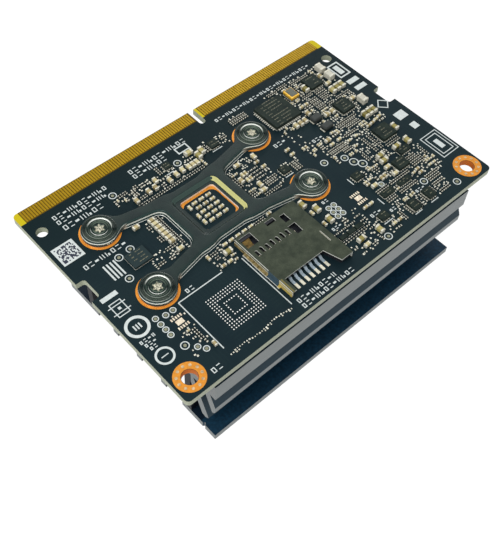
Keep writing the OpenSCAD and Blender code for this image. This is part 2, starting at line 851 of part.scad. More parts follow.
module unfitted_array_pads() {
    color([0.86, 0.66, 0.42])
        for (p = [[-26.9, -11.2], [11.7, -12]])
            translate([p.x, p.y, board_z1]) {
                translate([0, 0, plate_t / 2]) cube([1.3, 0.9, plate_t], center = true);
                for (sy = [-1, 1], i = [-2:2])
                    translate([i * 0.45, sy * 0.95, plate_t / 2])
                        cube([0.25, 0.5, plate_t], center = true);
            }
}

// Capacitors

module window_capacitors() {
    step = [1.49, 1.135];
    from = [body_at.x - 1.39, body_at.y - 2.29];
    color([0.80, 0.74, 0.58]) {
        capacitors_at([for (i = [0:2], j = [0:4]) [from.x + i * step.x, from.y + j * step.y]],
                      cap_small);
        capacitors_at([for (y = [0.41, 1.93, 4.21]) [from.x - 1.24, from.y + y]], cap_small, true);
    }
}

module rear_capacitors() {
    color([0.80, 0.74, 0.58]) {
        capacitors_at([[-17.3, 11.7], [-14.5, 12], [-13.1, 12], [-12.2, 13.2], [-10.2, 11.7],
                       [-8.5, 12], [-7.1, 12.1], [-5.8, 11.9], [-4.9, 11.9], [-4, 11.9]],
                      cap_medium, true);
        capacitors_at([[15.4, 7.1], [16.5, 7], [17.6, 7]], cap_medium, true);
    }
}

module left_capacitors() {
    color([0.80, 0.74, 0.58]) {
        capacitors_at([for (i = [0:5]) [-18.1, 6.8 - 0.9 * i]], cap_medium);
        capacitors_at([[-18.1, 1.4], [-18.1, -0.7], [-20.9, 7.3]], cap_medium);
        capacitors_at([[-16, -5.1], [-25.5, -17.6]], cap_small, true);
        capacitors_at([[-15.1, -7.8], [-13.7, -7.8]], cap_small);
    }
}

module centre_capacitors() {
    color([0.80, 0.74, 0.58]) {
        capacitors_at([for (i = [0:4]) [-12.2 + 1.42 * i, body_front - 1.15]], cap_small);
        capacitors_at([[-2.4, -4.7], [3.9, 5.2], [4.2, 3.7]], cap_small);
        capacitors_at([[0, 4.5], [0.7, 4.5], [0, 3.1], [0.7, 3.1], [3.2, -9.3], [3.2, -12.3]],
                      cap_small, true);
        capacitors_at([[-1, 3.7], [4.4, 6.5], [0.9, 1]], cap_medium, true);
        capacitors_at([[0.7, 6.8], [0.5, -0.3], [5.4, -19.9]], cap_medium);
        capacitors_at([[10, 3.8], [10, 2.5], [11, -14.3], [12.3, -14.3], [12.2, -19.8],
                       [13.5, -19.8]], cap_small);
    }
}

module right_capacitors() {
    color([0.80, 0.74, 0.58]) {
        capacitors_at([[21.8, 5.5], [28.5, 5.5], [27.9, 11.3], [17.2, 0.8], [15.7, -12],
                       [20.6, -10.5], [20.6, -12.4]], cap_medium);
        capacitors_at([[23.2, 5.5], [28.1, 13.7], [19.3, 8]], cap_medium, true);
        capacitors_at([[25.6, -1.4], [26.7, -1.3], [27.8, -1.1], [28.9, -0.9], [17.1, -0.4],
                       [19, -0.3], [19.5, 9.9], [20.7, 9.9], [24.3, -15.1], [24.3, -14.2]],
                      cap_small);
        capacitors_at([[18, -11.6], [18.8, -11.6]], cap_small, true);
    }
}

module bulk_capacitors() {
    color([0.52, 0.48, 0.24]) {
        capacitors_at([[27.2, 9.4], [28.4, 9.4], [29.6, 9.4], [27.1, 0.9], [28.2, 0.9],
                       [29.3, 0.9], [28.2, -8.4], [28.9, -4.7], [23.4, 12.9], [3.1, -7],
                       [4.4, -9.2], [4.5, -12.2], [9.3, -19.1], [-2.8, 12.9], [-1.7, 13.4]],
                      cap_large, true);
        capacitors_at([[21.5, -7.9], [21.2, -9.1], [25.5, -8.2], [5.4, -18.5], [-12.8, -6.2],
                       [-3.8, 14.5]], cap_large);
    }
}

module output_capacitors() {
    color([0.84, 0.82, 0.76])
        capacitors_at([[29.4, 15], [29.4, 12.5], [29.5, 3.9]], [1.9, 1.5, 1.2], true);
}

// Chip resistors

module rear_resistors() {
    color([0.74, 0.74, 0.70])
        resistor_rows([[-17.5, body_rear + 1.3, 0.55, 0, 26, true], [-16.3, 11.7, 0.5, 0, 3, true],
                       [-11.8, 11.6, 0.5, 0, 2, true], [-19, 14.4, 0.5, 0, 4, true],
                       [-15.6, 14.6, 0, -0.5, 2, false], [-0.6, 14.2, 0, -0.5, 4, false],
                       [3, 13.6, 0.5, 0, 3, true], [6.9, 15.7, 0.5, 0, 8, true],
                       [6.9, 14.9, 0.5, 0, 8, true], [-10.4, 15.4, 0, -0.5, 4, false]]);
}

module left_resistors() {
    color([0.74, 0.74, 0.70])
        resistor_rows([[body_left - 1.2, 6.75, 0, -0.45, 16, false], [-19.3, 6.1, 0, -0.5, 2, false],
                       [-19.3, 3.4, 0, -0.5, 3, false], [-19.9, 0.6, 0.5, 0, 5, true],
                       [-22.6, -1, 0.5, 0, 3, true], [-15.2, -5, 0.5, 0, 3, true],
                       [-15, -6, 0.5, 0, 2, true], [-24.7, -half_d + 2, 0.5, 0, 26, true],
                       [-26.2, -13.6, 0, -0.5, 5, false]]);
}

module centre_resistors() {
    color([0.74, 0.74, 0.70])
        resistor_rows([for (j = [0:3]) [1.6, 4.5 - 0.75 * j, 0.75, 0, 3, false]]);
    color([0.74, 0.74, 0.70])
        resistor_rows([[body_right + 0.4, 4.7, 0, -0.5, 5, false], [2, 1, 0.5, 0, 6, true],
                       [2, 0.2, 0.5, 0, 5, true], [0.2, -1.3, 0.55, 0, 7, true],
                       [-1.7, 0.3, 0.5, 0, 3, true], [-5.6, -4.8, 0.5, 0, 5, true],
                       [2.9, -15.1, 0.85, 0, 6, false], [2.9, -17.3, 0.6, 0, 9, true],
                       [8.2, -14.6, 0.7, 0, 2, false], [8.5, -15.8, 0, -0.7, 4, false],
                       [8.4, 1.2, 0, -0.45, 5, false], [9.2, 1.2, 0, -0.45, 5, false]]);
}

module right_rear_resistors() {
    color([0.74, 0.74, 0.70])
        resistor_rows([for (j = [0:3]) [21.9, 10.1 - 0.8 * j, 0.5, 0, 4, true]]);
    color([0.74, 0.74, 0.70])
        resistor_rows([[24.3, 10.9, 0.5, 0, 5, true], [21.6, 11.4, 0.5, 0, 5, true],
                       [24.3, 9.9, 0.5, 0, 4, true], [24.3, 9, 0.5, 0, 4, true],
                       [26.6, 7.5, 0.5, 0, 7, true], [24.2, 7.4, 0.5, 0, 3, true],
                       [21.4, 2.4, 0.5, 0, 10, true], [21.2, 1.6, 0.5, 0, 9, true],
                       [22.4, 0.8, 0.5, 0, 7, true], [20.6, -0.4, 0.5, 0, 6, true],
                       [16.8, 16.1, 0.5, 0, 5, true], [22.4, 15.7, 0.5, 0, 9, true],
                       [19.5, 16.3, 0.5, 0, 5, true]]);
}

module right_front_resistors() {
    color([0.74, 0.74, 0.70])
        resistor_rows([[15.4, -1.4, 0.45, 0, 9, true], [15.4, -2.2, 0.45, 0, 9, true],
                       [17.6, -3, 0.45, 0, 5, true], [22.3, -3, 0, -0.5, 8, false],
                       [23.6, -3, 0, -0.5, 8, false], [19.6, -5.7, 0, -0.5, 4, false],
                       [24.6, -6.9, 0.5, 0, 7, true], [18.1, -9.5, 0.6, 0, 3, true],
                       [24.7, -11.3, 0.5, 0, 5, true], [24.7, -12.2, 0.5, 0, 6, true],
                       [24.7, -13.1, 0.5, 0, 6, true], [15, -13.3, 0.5, 0, 6, true],
                       [18.3, -13.4, 0.5, 0, 10, true], [15, -15.9, 0.5, 0, 5, true],
                       [18.2, -15.9, 0.5, 0, 9, true], [24.15, -16.4, 0.5, 0, 7, true],
                       [24.15, -17.3, 0.5, 0, 6, true], [23.8, -18.4, 0.5, 0, 5, true],
                       [23.8, -20.2, 0.5, 0, 5, true], [16.35, -18.5, 0, -0.45, 5, false],
                       [18.85, -18.5, 0, -0.45, 5, false], [20.3, -18.3, 0, -0.45, 5, false],
                       [22.75, -18.3, 0, -0.45, 4, false], [14.6, -18.6, 0, -0.45, 5, false],
                       [28.6, -11, 0, -0.5, 4, false]]);
}

// Print

large_points = [[17.2, -5.7], [18.1, -7]];
medium_points = [[-6.6, 14.1], [13, -2.5], [16.6, -4], [23.2, -16.8], [27.6, -half_d + 1.9],
                 [9.5, -half_d + 1.6], [-19.6, 15.4], [-29, -14.9], [-26.6, 4.4], [-24.2, 4.6],
                 [-27.8, 0.1]];
small_points = concat([[-29.4, -8.4], [-27.8, -8.9], [-26.4, -8.9], [-29.4, -9.7],
                       [-29.4, -10.9], [-29.4, -12.1], [-27.7, -16.3], [-26.9, -17.4],
                       [17.05, -12.4]],
                      [for (i = [0:1], j = [0:2]) [6.2 + 1.2 * i, -10.3 - 1.1 * j]]);

module test_point_rings() {
    line = 0.16;
    color([0.85, 0.88, 0.87])
        translate([0, 0, board_z1]) {
            for (p = large_points)
                translate([p.x, p.y, 0]) flat_ring(1.7, 1.7 - 2 * line, print_t);
            for (p = medium_points)
                translate([p.x, p.y, 0]) flat_ring(1.45, 1.45 - 2 * line, print_t);
            for (p = small_points)
                translate([p.x, p.y, 0]) flat_ring(1.1, 1.1 - 2 * line, print_t);
        }
}

module test_point_pads() {
    color([0.72, 0.66, 0.56])
        for (p = concat(large_points, medium_points, small_points))
            translate([p.x, p.y, board_z1]) cylinder(d = 0.55, h = plate_t, $fn = 20);
}

module print_bar(p, size) {
    translate([p.x, p.y]) square(size, center = true);
}

module printed_outlines() {
    site_w = 13.1;
    site_top = site_at.y + 5.9;
    color([0.85, 0.88, 0.87])
        translate([0, 0, board_z1]) linear_extrude(print_t) {
            print_bar([site_at.x - site_w / 2, site_top - 5.3], [line_w, 10.6]);
            print_bar([site_at.x + site_w / 2, site_top - 5.8], [line_w, 11.6]);
            print_bar([site_at.x - site_w / 4 + 1.2, site_top], [site_w / 2 + 2.4, line_w]);
            print_bar([17.3, -20.8], [1.7, line_w]);
            print_bar([21.4, -20.8], [1.8, line_w]);
            print_bar([14.1, -15], [line_w, 1.6]);
            print_bar([-9, 13.1], [1.5, line_w]);
            print_bar([0.9, 12.1], [2.2, line_w]);
            print_bar([6.4, -0.6], [1.8, line_w]);
            print_bar([11.9, -18.8], [2.1, line_w]);
            print_bar([13.3, -8.6], [line_w, 1.6]);
        }
}

// Plain shapes in the places where such a board carries approval marks
module printed_marks() {
    left = -half_l + 2.5;
    right = half_l - 2.4;
    thin = 0.16;
    color([0.85, 0.88, 0.87])
        translate([0, 0, board_z1]) linear_extrude(print_t) {
            print_bar([left, -0.6], [3, 0.85]);
            translate([left, -3.3]) print_frame(2.2, 2.9, thin);
            for (s = [-1, 1]) print_bar([left, -3.3 + 0.75 * s], [3.2, thin]);
            print_bar([left, -3.3], [0.5, 0.5]);
            translate([left, -7.7]) difference() {
                circle(d = 4);
                circle(d = 3);
            }
            for (s = [-1, 0, 1]) print_bar([left + 0.5 * s, -7.7], [0.24, 1]);
            for (i = [0:2]) ticked_line(left - 1.7 + 0.3 * i, -10.35 - 0.85 * i, 3.6 - 0.7 * i, 0.6);
            translate([left, -14.3]) difference() {
                circle(d = 3.1);
                circle(d = 2.4);
            }
            print_bar([left, -14.3], [1.3, thin]);
            for (i = [0:3]) print_bar([-29.6 + 0.65 * i, 2.9], [0.3, 3.4]);
            translate([right, 12.8]) print_frame(2.7, 4, 0.3);
            print_bar([right, 12.8], [1.1, 2.4]);
            for (s = [-1, 1]) print_bar([right, 8 + 1.05 * s], [2.6, 1.1]);
            translate([right - 0.4, 0.9]) rotate(45) print_frame(2, 2, 0.2);
            print_bar([right, -3.2], [2.3, 1.9]);
            print_bar([right, -6.6], [1.4, 1.5]);
            translate([right - 0.1, -12.6]) print_frame(4.1, 5.8, thin);
            translate([right - 0.1, -12.6]) print_frame(2.8, 4.5, thin);
            print_bar([right - 0.1, -12.6], [1, 2.2]);
            translate([-3.8, half_d - 6.25]) print_frame(2.6, 1.6, 0.25);
        }
}

// A printed line drawn as a run of plain ticks, bars and frames
module ticked_line(x, y, length, height) {
    pitch = height + 0.15;
    w = height * 0.72;
    stroke = 0.15;
    for (i = [0:floor(length / pitch) - 1])
        translate([x + (i + 0.5) * pitch, y]) {
            kind = i * 7 % 5;
            if (kind == 0) print_frame(w, height, stroke);
            if (kind == 1)
                for (s = [-1, 1]) print_bar([s * (w - stroke) / 2, 0], [stroke, height]);
            if (kind == 2)
                for (s = [-1, 1]) print_bar([0, s * (height - stroke) / 2], [w, stroke]);
            if (kind == 3) {
                print_bar([-(w - stroke) / 2, 0], [stroke, height]);
                print_bar([w / 4, -height / 4], [w / 2, height / 2]);
            }
            if (kind == 4) print_bar([0, 0], [w, height * 0.4]);
        }
}

module printed_lines() {
    color([0.85, 0.88, 0.87])
        translate([0, 0, board_z1]) linear_extrude(print_t) {
            ticked_line(-30.2, half_d - 4.8, 11.6, 0.85);
            ticked_line(-30.2, half_d - 6.05, 10, 0.85);
            ticked_line(-30, half_d - 7.6, 8.8, 1);
            ticked_line(-14.6, half_d - 4.8, 12.8, 0.9);
            ticked_line(-14.6, half_d - 6.1, 8, 0.9);
            ticked_line(5, half_d - 4.9, 24.6, 0.7);
            ticked_line(-32.2, 6.2, 9.4, 0.9);
            ticked_line(-11, -half_d + 2.15, 9, 0.8);
            ticked_line(-11, -half_d + 0.95, 12, 0.8);
            ticked_line(-29, -half_d + 1.6, 2.8, 0.9);
            ticked_line(-22.9, -7.6, 2.6, 0.75);
            ticked_line(8.8, 6, 3, 0.8);
            ticked_line(14.9, 2.4, 2.6, 0.7);
            ticked_line(10.2, -16.2, 2.6, 0.7);
            ticked_line(13.6, -17.5, 2, 0.6);
            ticked_line(20.2, -17.5, 2.7, 0.6);
            ticked_line(6, -8.8, 2, 0.6);
            ticked_line(3.2, -14, 2.8, 0.6);
        }
}

// Printed code square with random cells
label_w = 4;
label_at = [-half_l + 2.7, half_d - 12];

module code_label() {
    color([0.85, 0.88, 0.87])
        translate([label_at.x - label_w / 2, label_at.y - label_w / 2, board_z1])
            cube([label_w, label_w, print_t]);
}

module code_cells() {
    cells = 14;
    cell = (label_w - 0.5) / cells;
    pick = rands(0, 1, cells * cells, 41);
    color([0.10, 0.14, 0.20])
        translate([label_at.x, label_at.y, board_z1 + print_t])
            linear_extrude(print_t)
                for (i = [0:cells - 1], j = [0:cells - 1])
                    if (i == 0 || j == 0 || (pick[i * cells + j] > 0.55 && (i + j) % 2 == 0))
                        translate([(i - cells / 2) * cell, (j - cells / 2) * cell])
                            square(cell * 0.96);
}

circuit_board();
upper_edge_contacts();
lower_edge_contacts();
fixing_hole_rings();
ring_vias();
backplate_pad_rings();
window_pad_frame();
backplate();
backplate_screws();
heatsink();
processor_package();
processor_thermal_pad();
memory_chips();
memory_thermal_pads();
socket_shell();
socket_housing();
socket_contacts();
card_detect_leaf();
latch_slider();
latch_spring();
network_controller();
power_controllers();
logic_chips();
crystal();
power_inductors();
diode_arrays();
unfitted_chip_pads();
unfitted_array_pads();
window_capacitors();
rear_capacitors();
left_capacitors();
centre_capacitors();
right_capacitors();
bulk_capacitors();
output_capacitors();
rear_resistors();
left_resistors();
centre_resistors();
right_rear_resistors();
right_front_resistors();
test_point_rings();
test_point_pads();
printed_outlines();
printed_marks();
printed_lines();
code_label();
code_cells();
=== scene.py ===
import math
import random

import bmesh
import bpy
from mathutils import Matrix, Quaternion, Vector, geometry
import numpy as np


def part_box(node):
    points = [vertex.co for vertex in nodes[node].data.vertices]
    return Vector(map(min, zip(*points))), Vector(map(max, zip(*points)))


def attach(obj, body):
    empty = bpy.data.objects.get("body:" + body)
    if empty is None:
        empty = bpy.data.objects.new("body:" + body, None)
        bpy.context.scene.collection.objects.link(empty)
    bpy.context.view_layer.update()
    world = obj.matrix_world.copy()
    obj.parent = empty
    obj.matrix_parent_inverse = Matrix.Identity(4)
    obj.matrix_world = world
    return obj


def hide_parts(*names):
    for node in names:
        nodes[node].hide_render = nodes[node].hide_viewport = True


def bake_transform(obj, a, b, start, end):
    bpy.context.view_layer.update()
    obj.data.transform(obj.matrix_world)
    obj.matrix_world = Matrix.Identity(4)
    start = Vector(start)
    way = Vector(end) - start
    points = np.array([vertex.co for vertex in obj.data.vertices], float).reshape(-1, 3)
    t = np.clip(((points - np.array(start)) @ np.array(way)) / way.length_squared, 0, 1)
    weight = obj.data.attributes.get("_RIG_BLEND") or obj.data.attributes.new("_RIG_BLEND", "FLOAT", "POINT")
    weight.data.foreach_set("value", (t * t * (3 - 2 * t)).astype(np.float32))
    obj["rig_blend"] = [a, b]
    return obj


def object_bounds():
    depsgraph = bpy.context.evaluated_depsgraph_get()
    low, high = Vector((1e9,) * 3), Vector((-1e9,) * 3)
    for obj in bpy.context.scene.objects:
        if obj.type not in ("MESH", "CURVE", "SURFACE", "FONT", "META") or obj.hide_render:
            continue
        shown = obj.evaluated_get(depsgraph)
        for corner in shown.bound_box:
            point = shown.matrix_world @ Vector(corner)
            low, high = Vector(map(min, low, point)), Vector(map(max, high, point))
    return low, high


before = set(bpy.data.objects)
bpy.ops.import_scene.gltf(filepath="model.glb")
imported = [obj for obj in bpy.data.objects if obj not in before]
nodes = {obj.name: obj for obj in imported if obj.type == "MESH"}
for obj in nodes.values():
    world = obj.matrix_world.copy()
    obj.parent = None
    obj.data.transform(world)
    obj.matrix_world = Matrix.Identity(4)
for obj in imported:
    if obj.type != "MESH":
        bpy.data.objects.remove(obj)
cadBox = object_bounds()
mm = 0.001
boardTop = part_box("circuit_board")[1].z
print("frame loaded:", len(nodes), "nodes")


# One value in a material's tree, with the operators that its maths needs
class Wire:
    def __init__(self, finish, socket):
        self.finish = finish
        self.socket = socket

    def work(self, operation, *values):
        return self.finish.add("ShaderNodeMath", {"operation": operation}, values)

    def __add__(self, other):
        return self.work("ADD", self, other)

    __radd__ = __add__

    def __mul__(self, other):
        return self.work("MULTIPLY", self, other)

    __rmul__ = __mul__

    def __sub__(self, other):
        return self.work("SUBTRACT", self, other)

    def __rsub__(self, other):
        return self.work("SUBTRACT", other, self)

    def __truediv__(self, other):
        return self.work("DIVIDE", self, other)

    def __gt__(self, other):
        return self.work("GREATER_THAN", self, other)

    def __lt__(self, other):
        return self.work("LESS_THAN", self, other)

    def __abs__(self):
        return self.work("ABSOLUTE", self)

    def fraction(self):
        return self.work("FRACT", self)

    def most(self, other):
        return self.work("MAXIMUM", self, other)


# A material under construction: a Principled shader and the nodes that feed it
class Finish:
    def __init__(self, name, **sockets):
        self.material = bpy.data.materials.new(name)
        self.material.use_nodes = True
        self.tree = self.material.node_tree
        self.shader = self.tree.nodes["Principled BSDF"]
        self.feed(**sockets)

    def feed(self, **sockets):
        for name, value in sockets.items():
            self.put(self.shader.inputs[name.replace("_", " ")], value)

    def put(self, socket, value):
        if isinstance(value, Wire):
            self.tree.links.new(value.socket, socket)
        elif hasattr(socket.default_value, "__len__") and len(value) == 3 < len(socket.default_value):
            socket.default_value = (*value, 1)
        else:
            socket.default_value = value

    def add(self, kind, settings=None, values=(), output=0):
        node = self.tree.nodes.new(kind)
        for key, value in (settings or {}).items():
            if key == "stops":
                while len(node.color_ramp.elements) < len(value):
                    node.color_ramp.elements.new(0.5)
                for element, (place, colour) in zip(node.color_ramp.elements, value):
                    element.position = place
                    element.color = (*colour, 1)
            else:
                setattr(node, key, value)
        pairs = values.items() if isinstance(values, dict) else enumerate(values)
        for key, value in pairs:
            self.put(node.inputs[key], value)
        return Wire(self, node.outputs[output])

    def place(self):
        return self.add("ShaderNodeTexCoord", output="Object")

    def axes(self, vector=None):
        split = self.add("ShaderNodeSeparateXYZ", values=[vector or self.place()])
        return [Wire(self, split.socket.node.outputs[i]) for i in range(3)]

    def facing(self):
        normal = self.add("ShaderNodeNewGeometry", output="True Normal")
        return self.axes(normal)

    def mark(self, name):
        return self.add("ShaderNodeAttribute", {"attribute_name": name}, output="Fac")

    def noise(self, size, detail=2.0, vector=None):
        values = {"Vector": vector or self.place(), "Scale": 1 / size, "Detail": detail}
        return self.add("ShaderNodeTexNoise", values=values)

    def grain(self, size, low=0, high=1):
        values = {"Value": self.noise(size), "From Min": 0.3, "From Max": 0.7, "To Min": low, "To Max": high}
        return self.add("ShaderNodeMapRange", values=values)

    def blend(self, factor, first, second):
        values = {0: factor, 6: first, 7: second}
        return self.add("ShaderNodeMix", {"data_type": "RGBA"}, values, output=2)

    def mottle(self, size, first, second):
        return self.blend(self.grain(size), first, second)

    def bump(self, height, depth, strength):
        values = {"Height": height, "Distance": depth, "Strength": strength}
        return self.add("ShaderNodeBump", values=values)

    # Roughness as a grain size and its range, and a bump as a size, a depth and a strength
    def surface(self, rough, bump):
        size, depth, strength = bump
        self.feed(Roughness=self.grain(*rough), Normal=self.bump(self.noise(size), depth, strength))


def coat(nodeName, finish):
    mesh = nodes[nodeName].data
    mesh.materials.clear()
    mesh.materials.append(finish.material)


# A colour as the photograph shows it, in linear light
def tone(red, green, blue):
    return tuple((c / 255 / 12.92 if c < 11 else ((c / 255 + 0.055) / 1.055) ** 2.4)
                 for c in (red, green, blue))


boardLook = {
    "mask": tone(27, 43, 47),
    "maskDeep": tone(21, 37, 43),
    "trace": tone(34, 52, 54),
    "bare": tone(96, 74, 14),
    "corner": tone(200, 182, 28),
    "cornerReach": 1.1 * mm,
    "slotCorner": (4 * mm, 4.55 * mm),
    # painted shade: the mask darkens towards the rear of the board
    "rear": tone(9, 27, 30),
    "rearShadeFrom": 2 * mm,
    "rearShadeReach": 24 * mm,
    "edge": tone(172, 177, 158),
    "edgeDark": tone(126, 130, 108),
    "hole": tone(196, 112, 48),
    "traceStep": 0.7 * mm,
    "traceWidth": 0.35,
    "traceShare": 0.15,
    "patch": 4 * mm,
    "patchFrom": 0.62,
    "cloud": 9 * mm,
    "layerStep": 0.3 * mm,
    "layerWidth": 0.25,
    "layerShare": 0.7,
    "holeReach": 1.32 * mm,
    "contactReach": 2.72 * mm,
    "rough": (0.8 * mm, 0.40, 0.52),
    "bump": (0.3 * mm, 0.003 * mm, 0.3),
}


# Dark teal solder mask with faint traces, painted shade that darkens it towards the rear, bare laminate
# under the contacts and a pale edge
def makeBoardFinish():
    look = boardLook
    f = Finish("solderMask", Specular_IOR_Level=0.05)
    x, y, z = f.axes()
    step = look["traceStep"]
    patches = f.noise(look["patch"], 0)
    across = ((x / step).fraction() < look["traceWidth"]) * (patches > look["patchFrom"])
    along = ((y / step).fraction() < look["traceWidth"]) * (patches < 1 - look["patchFrom"])
    traces = across.most(along)
    mask = f.mottle(look["cloud"], look["maskDeep"], look["mask"])
    mask = f.blend(traces * look["traceShare"], mask, look["trace"])
    # painted shade, darker towards the rear
    mask = f.blend((y - look["rearShadeFrom"]) / look["rearShadeReach"], mask, look["rear"])
    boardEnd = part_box("circuit_board")[1]
    slotFrom, slotTo = look["slotCorner"]
    corner = (abs(x) > boardEnd.x - look["cornerReach"]).most((x > slotFrom) * (x < slotTo))
    bare = f.blend(corner, look["bare"], look["corner"])
    mask = f.blend(y > boardEnd.y - look["contactReach"], mask, bare)
    up = abs(f.facing()[2]) > 0.5
    layers = (z / look["layerStep"]).fraction() < look["layerWidth"]
    edge = f.blend(layers * look["layerShare"], look["edge"], look["edgeDark"])
    low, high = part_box("fixing_hole_rings")
    dx = abs(x) - (high.x - (high.y - low.y) / 2)
    dy = y - (low.y + high.y) / 2
    plated = (dx * dx + dy * dy) < look["holeReach"] ** 2
    side = f.blend(plated, edge, look["hole"])
    f.feed(Base_Color=f.blend(up, side, mask))
    f.surface(look["rough"], look["bump"])
    return f


# One colour with fine mottling, and a faint bump unless lumps is 0
def plainFinish(name, colour, roughness, metallic=0.0, grainSize=0.4, change=0.25, lumps=0.01):
    f = Finish(name, Metallic=metallic, Specular_IOR_Level=0.3)
    darker = tuple(c * (1 - change) for c in colour)
    lighter = tuple(min(1, c * (1 + change)) for c in colour)
    f.feed(Base_Color=f.mottle(grainSize * mm, darker, lighter),
           Roughness=f.grain(grainSize * 2 * mm, roughness * 0.85, min(1, roughness * 1.15)))
    if lumps:
        f.feed(Normal=f.bump(f.noise(grainSize * 0.5 * mm), lumps * mm, 0.6))
    return f


heatsinkLook = {
    "skin": tone(36, 54, 64),
    "flange": tone(8, 26, 40),
    # painted highlight along the front of the flange's top
    "strip": tone(20, 56, 78),
    "cut": tone(128, 134, 134),
    "cutDark": 0.72,
    # painted shade above the flange, between the outer vanes
    "shade": tone(4, 9, 18),
    "drawn": (0.08, 0.08, 1),
    "scratch": 0.25 * mm,
    "scratchDepth": 0.008 * mm,
    "stripHighlightGrain": 0.5 * mm,
    "flangeTop": 1.45 * mm,
    "baseFrom": 14.15 * mm,
    "vanesFrom": 14.3 * mm,
    "stripHighlightReach": 3.6 * mm,
    "face": 0.05 * mm,
}


# Dark blue anodised extrusion whose milled faces are bare, and whose sawn ends are bare on the flange, the
# base and the outer vanes. Above the flange, between the outer vanes, fin ends too, it is painted shade, and
# the flange's top has a speckled painted highlight near its front edge
def makeHeatsinkFinish():
    look = heatsinkLook
    f = Finish("anodisedExtrusion", Specular_IOR_Level=0.16)
    x, y, z = f.axes()
    nx, ny, nz = f.facing()
    low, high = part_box("heatsink")
    ends = abs(nx) > 0.9
    middle, half = (low.y + high.y) / 2, (high.y - low.y) / 2
    offMiddle = abs(y - middle)
    milled = (abs(ny) > 0.95) * (offMiddle > half - look["face"])
    beyond = offMiddle > look["vanesFrom"]
    # fin ends between the flange and the base are kept out of the bare metal, as painted shade
    endsOutOfShade = (z < look["flangeTop"]).most(z > look["baseFrom"]).most(beyond)
    bare = (ends * endsOutOfShade).most(milled)
    stretch = f.add("ShaderNodeVectorMath", {"operation": "MULTIPLY"}, [f.place(), look["drawn"]])
    lines = f.noise(look["scratch"], 3.0, stretch)
    dull = tuple(c * look["cutDark"] for c in look["cut"])
    metal = f.blend(lines, dull, look["cut"])
    # a speckled painted highlight near the front edge of the flange's top
    onHighlightStrip = (offMiddle > half - look["stripHighlightReach"]) * (y < middle) * f.grain(look["stripHighlightGrain"], 0.35)
    flange = f.blend(onHighlightStrip, look["flange"], look["strip"])
    skin = f.blend(z < look["flangeTop"], look["skin"], flange)
    # painted shade over everything above the flange between the outer vanes
    skin = f.blend((z > look["flangeTop"]) * (1 - beyond), skin, look["shade"])
    f.feed(Base_Color=f.blend(bare, skin, metal), Metallic=bare * 0.3,
           Roughness=0.5 - bare * 0.1, Normal=f.bump(lines, look["scratchDepth"], 0.4))
    return f


chipLook = {
    "tin": tone(242, 240, 226),
    "tinDark": tone(168, 166, 146),
    "tinGrain": 0.18 * mm,
    "bump": 0.12 * mm,
    "bumpDepth": 0.01 * mm,
}


# A chip part: its body's colour varies from chip to chip, and its ends are tin
def makeChipFinish(name, bodies, tin=chipLook["tin"]):
    f = Finish(name, Specular_IOR_Level=0.3)
    ends, shade = f.mark("tin"), f.mark("shade")
    stops = [(i / (len(bodies) - 1), colour) for i, colour in enumerate(bodies)]
    body = f.add("ShaderNodeValToRGB", {"stops": stops}, [shade])
    metal = f.mottle(chipLook["tinGrain"], chipLook["tinDark"], tin)
    f.feed(Base_Color=f.blend(ends, body, metal), Metallic=ends * 0.15, Roughness=0.5 - ends * 0.22,
           Normal=f.bump(f.noise(chipLook["bump"]), chipLook["bumpDepth"], 0.5))
    return f


screwLook = {
    "dark": tone(8, 24, 25),
    "metal": tone(46, 61, 55),
    # painted highlight for slopes facing front and left
    "worn": tone(96, 110, 97),
    # painted rim highlight
    "rim": tone(244, 248, 240),
    "star": tone(244, 240, 214),
    "stain": 0.5 * mm,
    "starGrain": 0.24 * mm,
    "turning": 0.12 * mm,
    "turningDepth": 0.008 * mm,
    "steep": 1.6968,
}


# Dark nickel with a painted highlight on the slopes that face the fixing edge and the left side, painted
# shade on the slopes that face away, and painted bright and dark rings on the rim rows
def makeScrewFinish():
    look = screwLook
    f = Finish("screwNickel", Metallic=0.15, Specular_IOR_Level=0.08)
    star, rim = f.mark("tin"), f.mark("rim")
    nx, ny, nz = f.facing()
    lean = (nx + ny) * -look["steep"]
    metal = f.mottle(look["stain"], look["dark"], look["metal"])
    # painted highlight on slopes facing front and left
    metal = f.blend(lean, metal, look["worn"])
    # painted shade on slopes facing back and right
    metal = f.blend(0 - lean, metal, look["dark"])
    # painted rim highlight on rim rows facing front and left
    metal = f.blend(rim * lean, metal, look["rim"])
    # painted dark reflection on rows marked below zero
    metal = f.blend(0 - rim, metal, look["dark"])
    starTone = f.mottle(look["starGrain"], look["dark"], look["star"])
    f.feed(Base_Color=f.blend(star, metal, starTone), Roughness=f.grain(look["stain"], 0.2, 0.36),
           Normal=f.bump(f.noise(look["turning"], 3), look["turningDepth"], 0.5))
    return f


plateLook = {
    "skin": tone(15, 33, 33),
    "sheen": tone(25, 43, 40),
    "cut": tone(250, 252, 246),
    # painted highlight along bends facing front and left
    "bend": tone(232, 236, 226),
    # painted light for sides facing front and left
    "lip": tone(40, 62, 60),
    "mirror": tone(232, 214, 190),
    # painted light on the pan's walls, by the way they face
    "wallLit": tone(200, 198, 130),
    "wallHalfLit": tone(60, 80, 74),
    "mottle": 1.6 * mm,
    "highlightBreakup": 0.8 * mm,
    "polish": (0.9 * mm, 0.2, 0.34),
    "bump": 0.35 * mm,
    "bumpDepth": 0.006 * mm,
    "steep": 1.4,
}


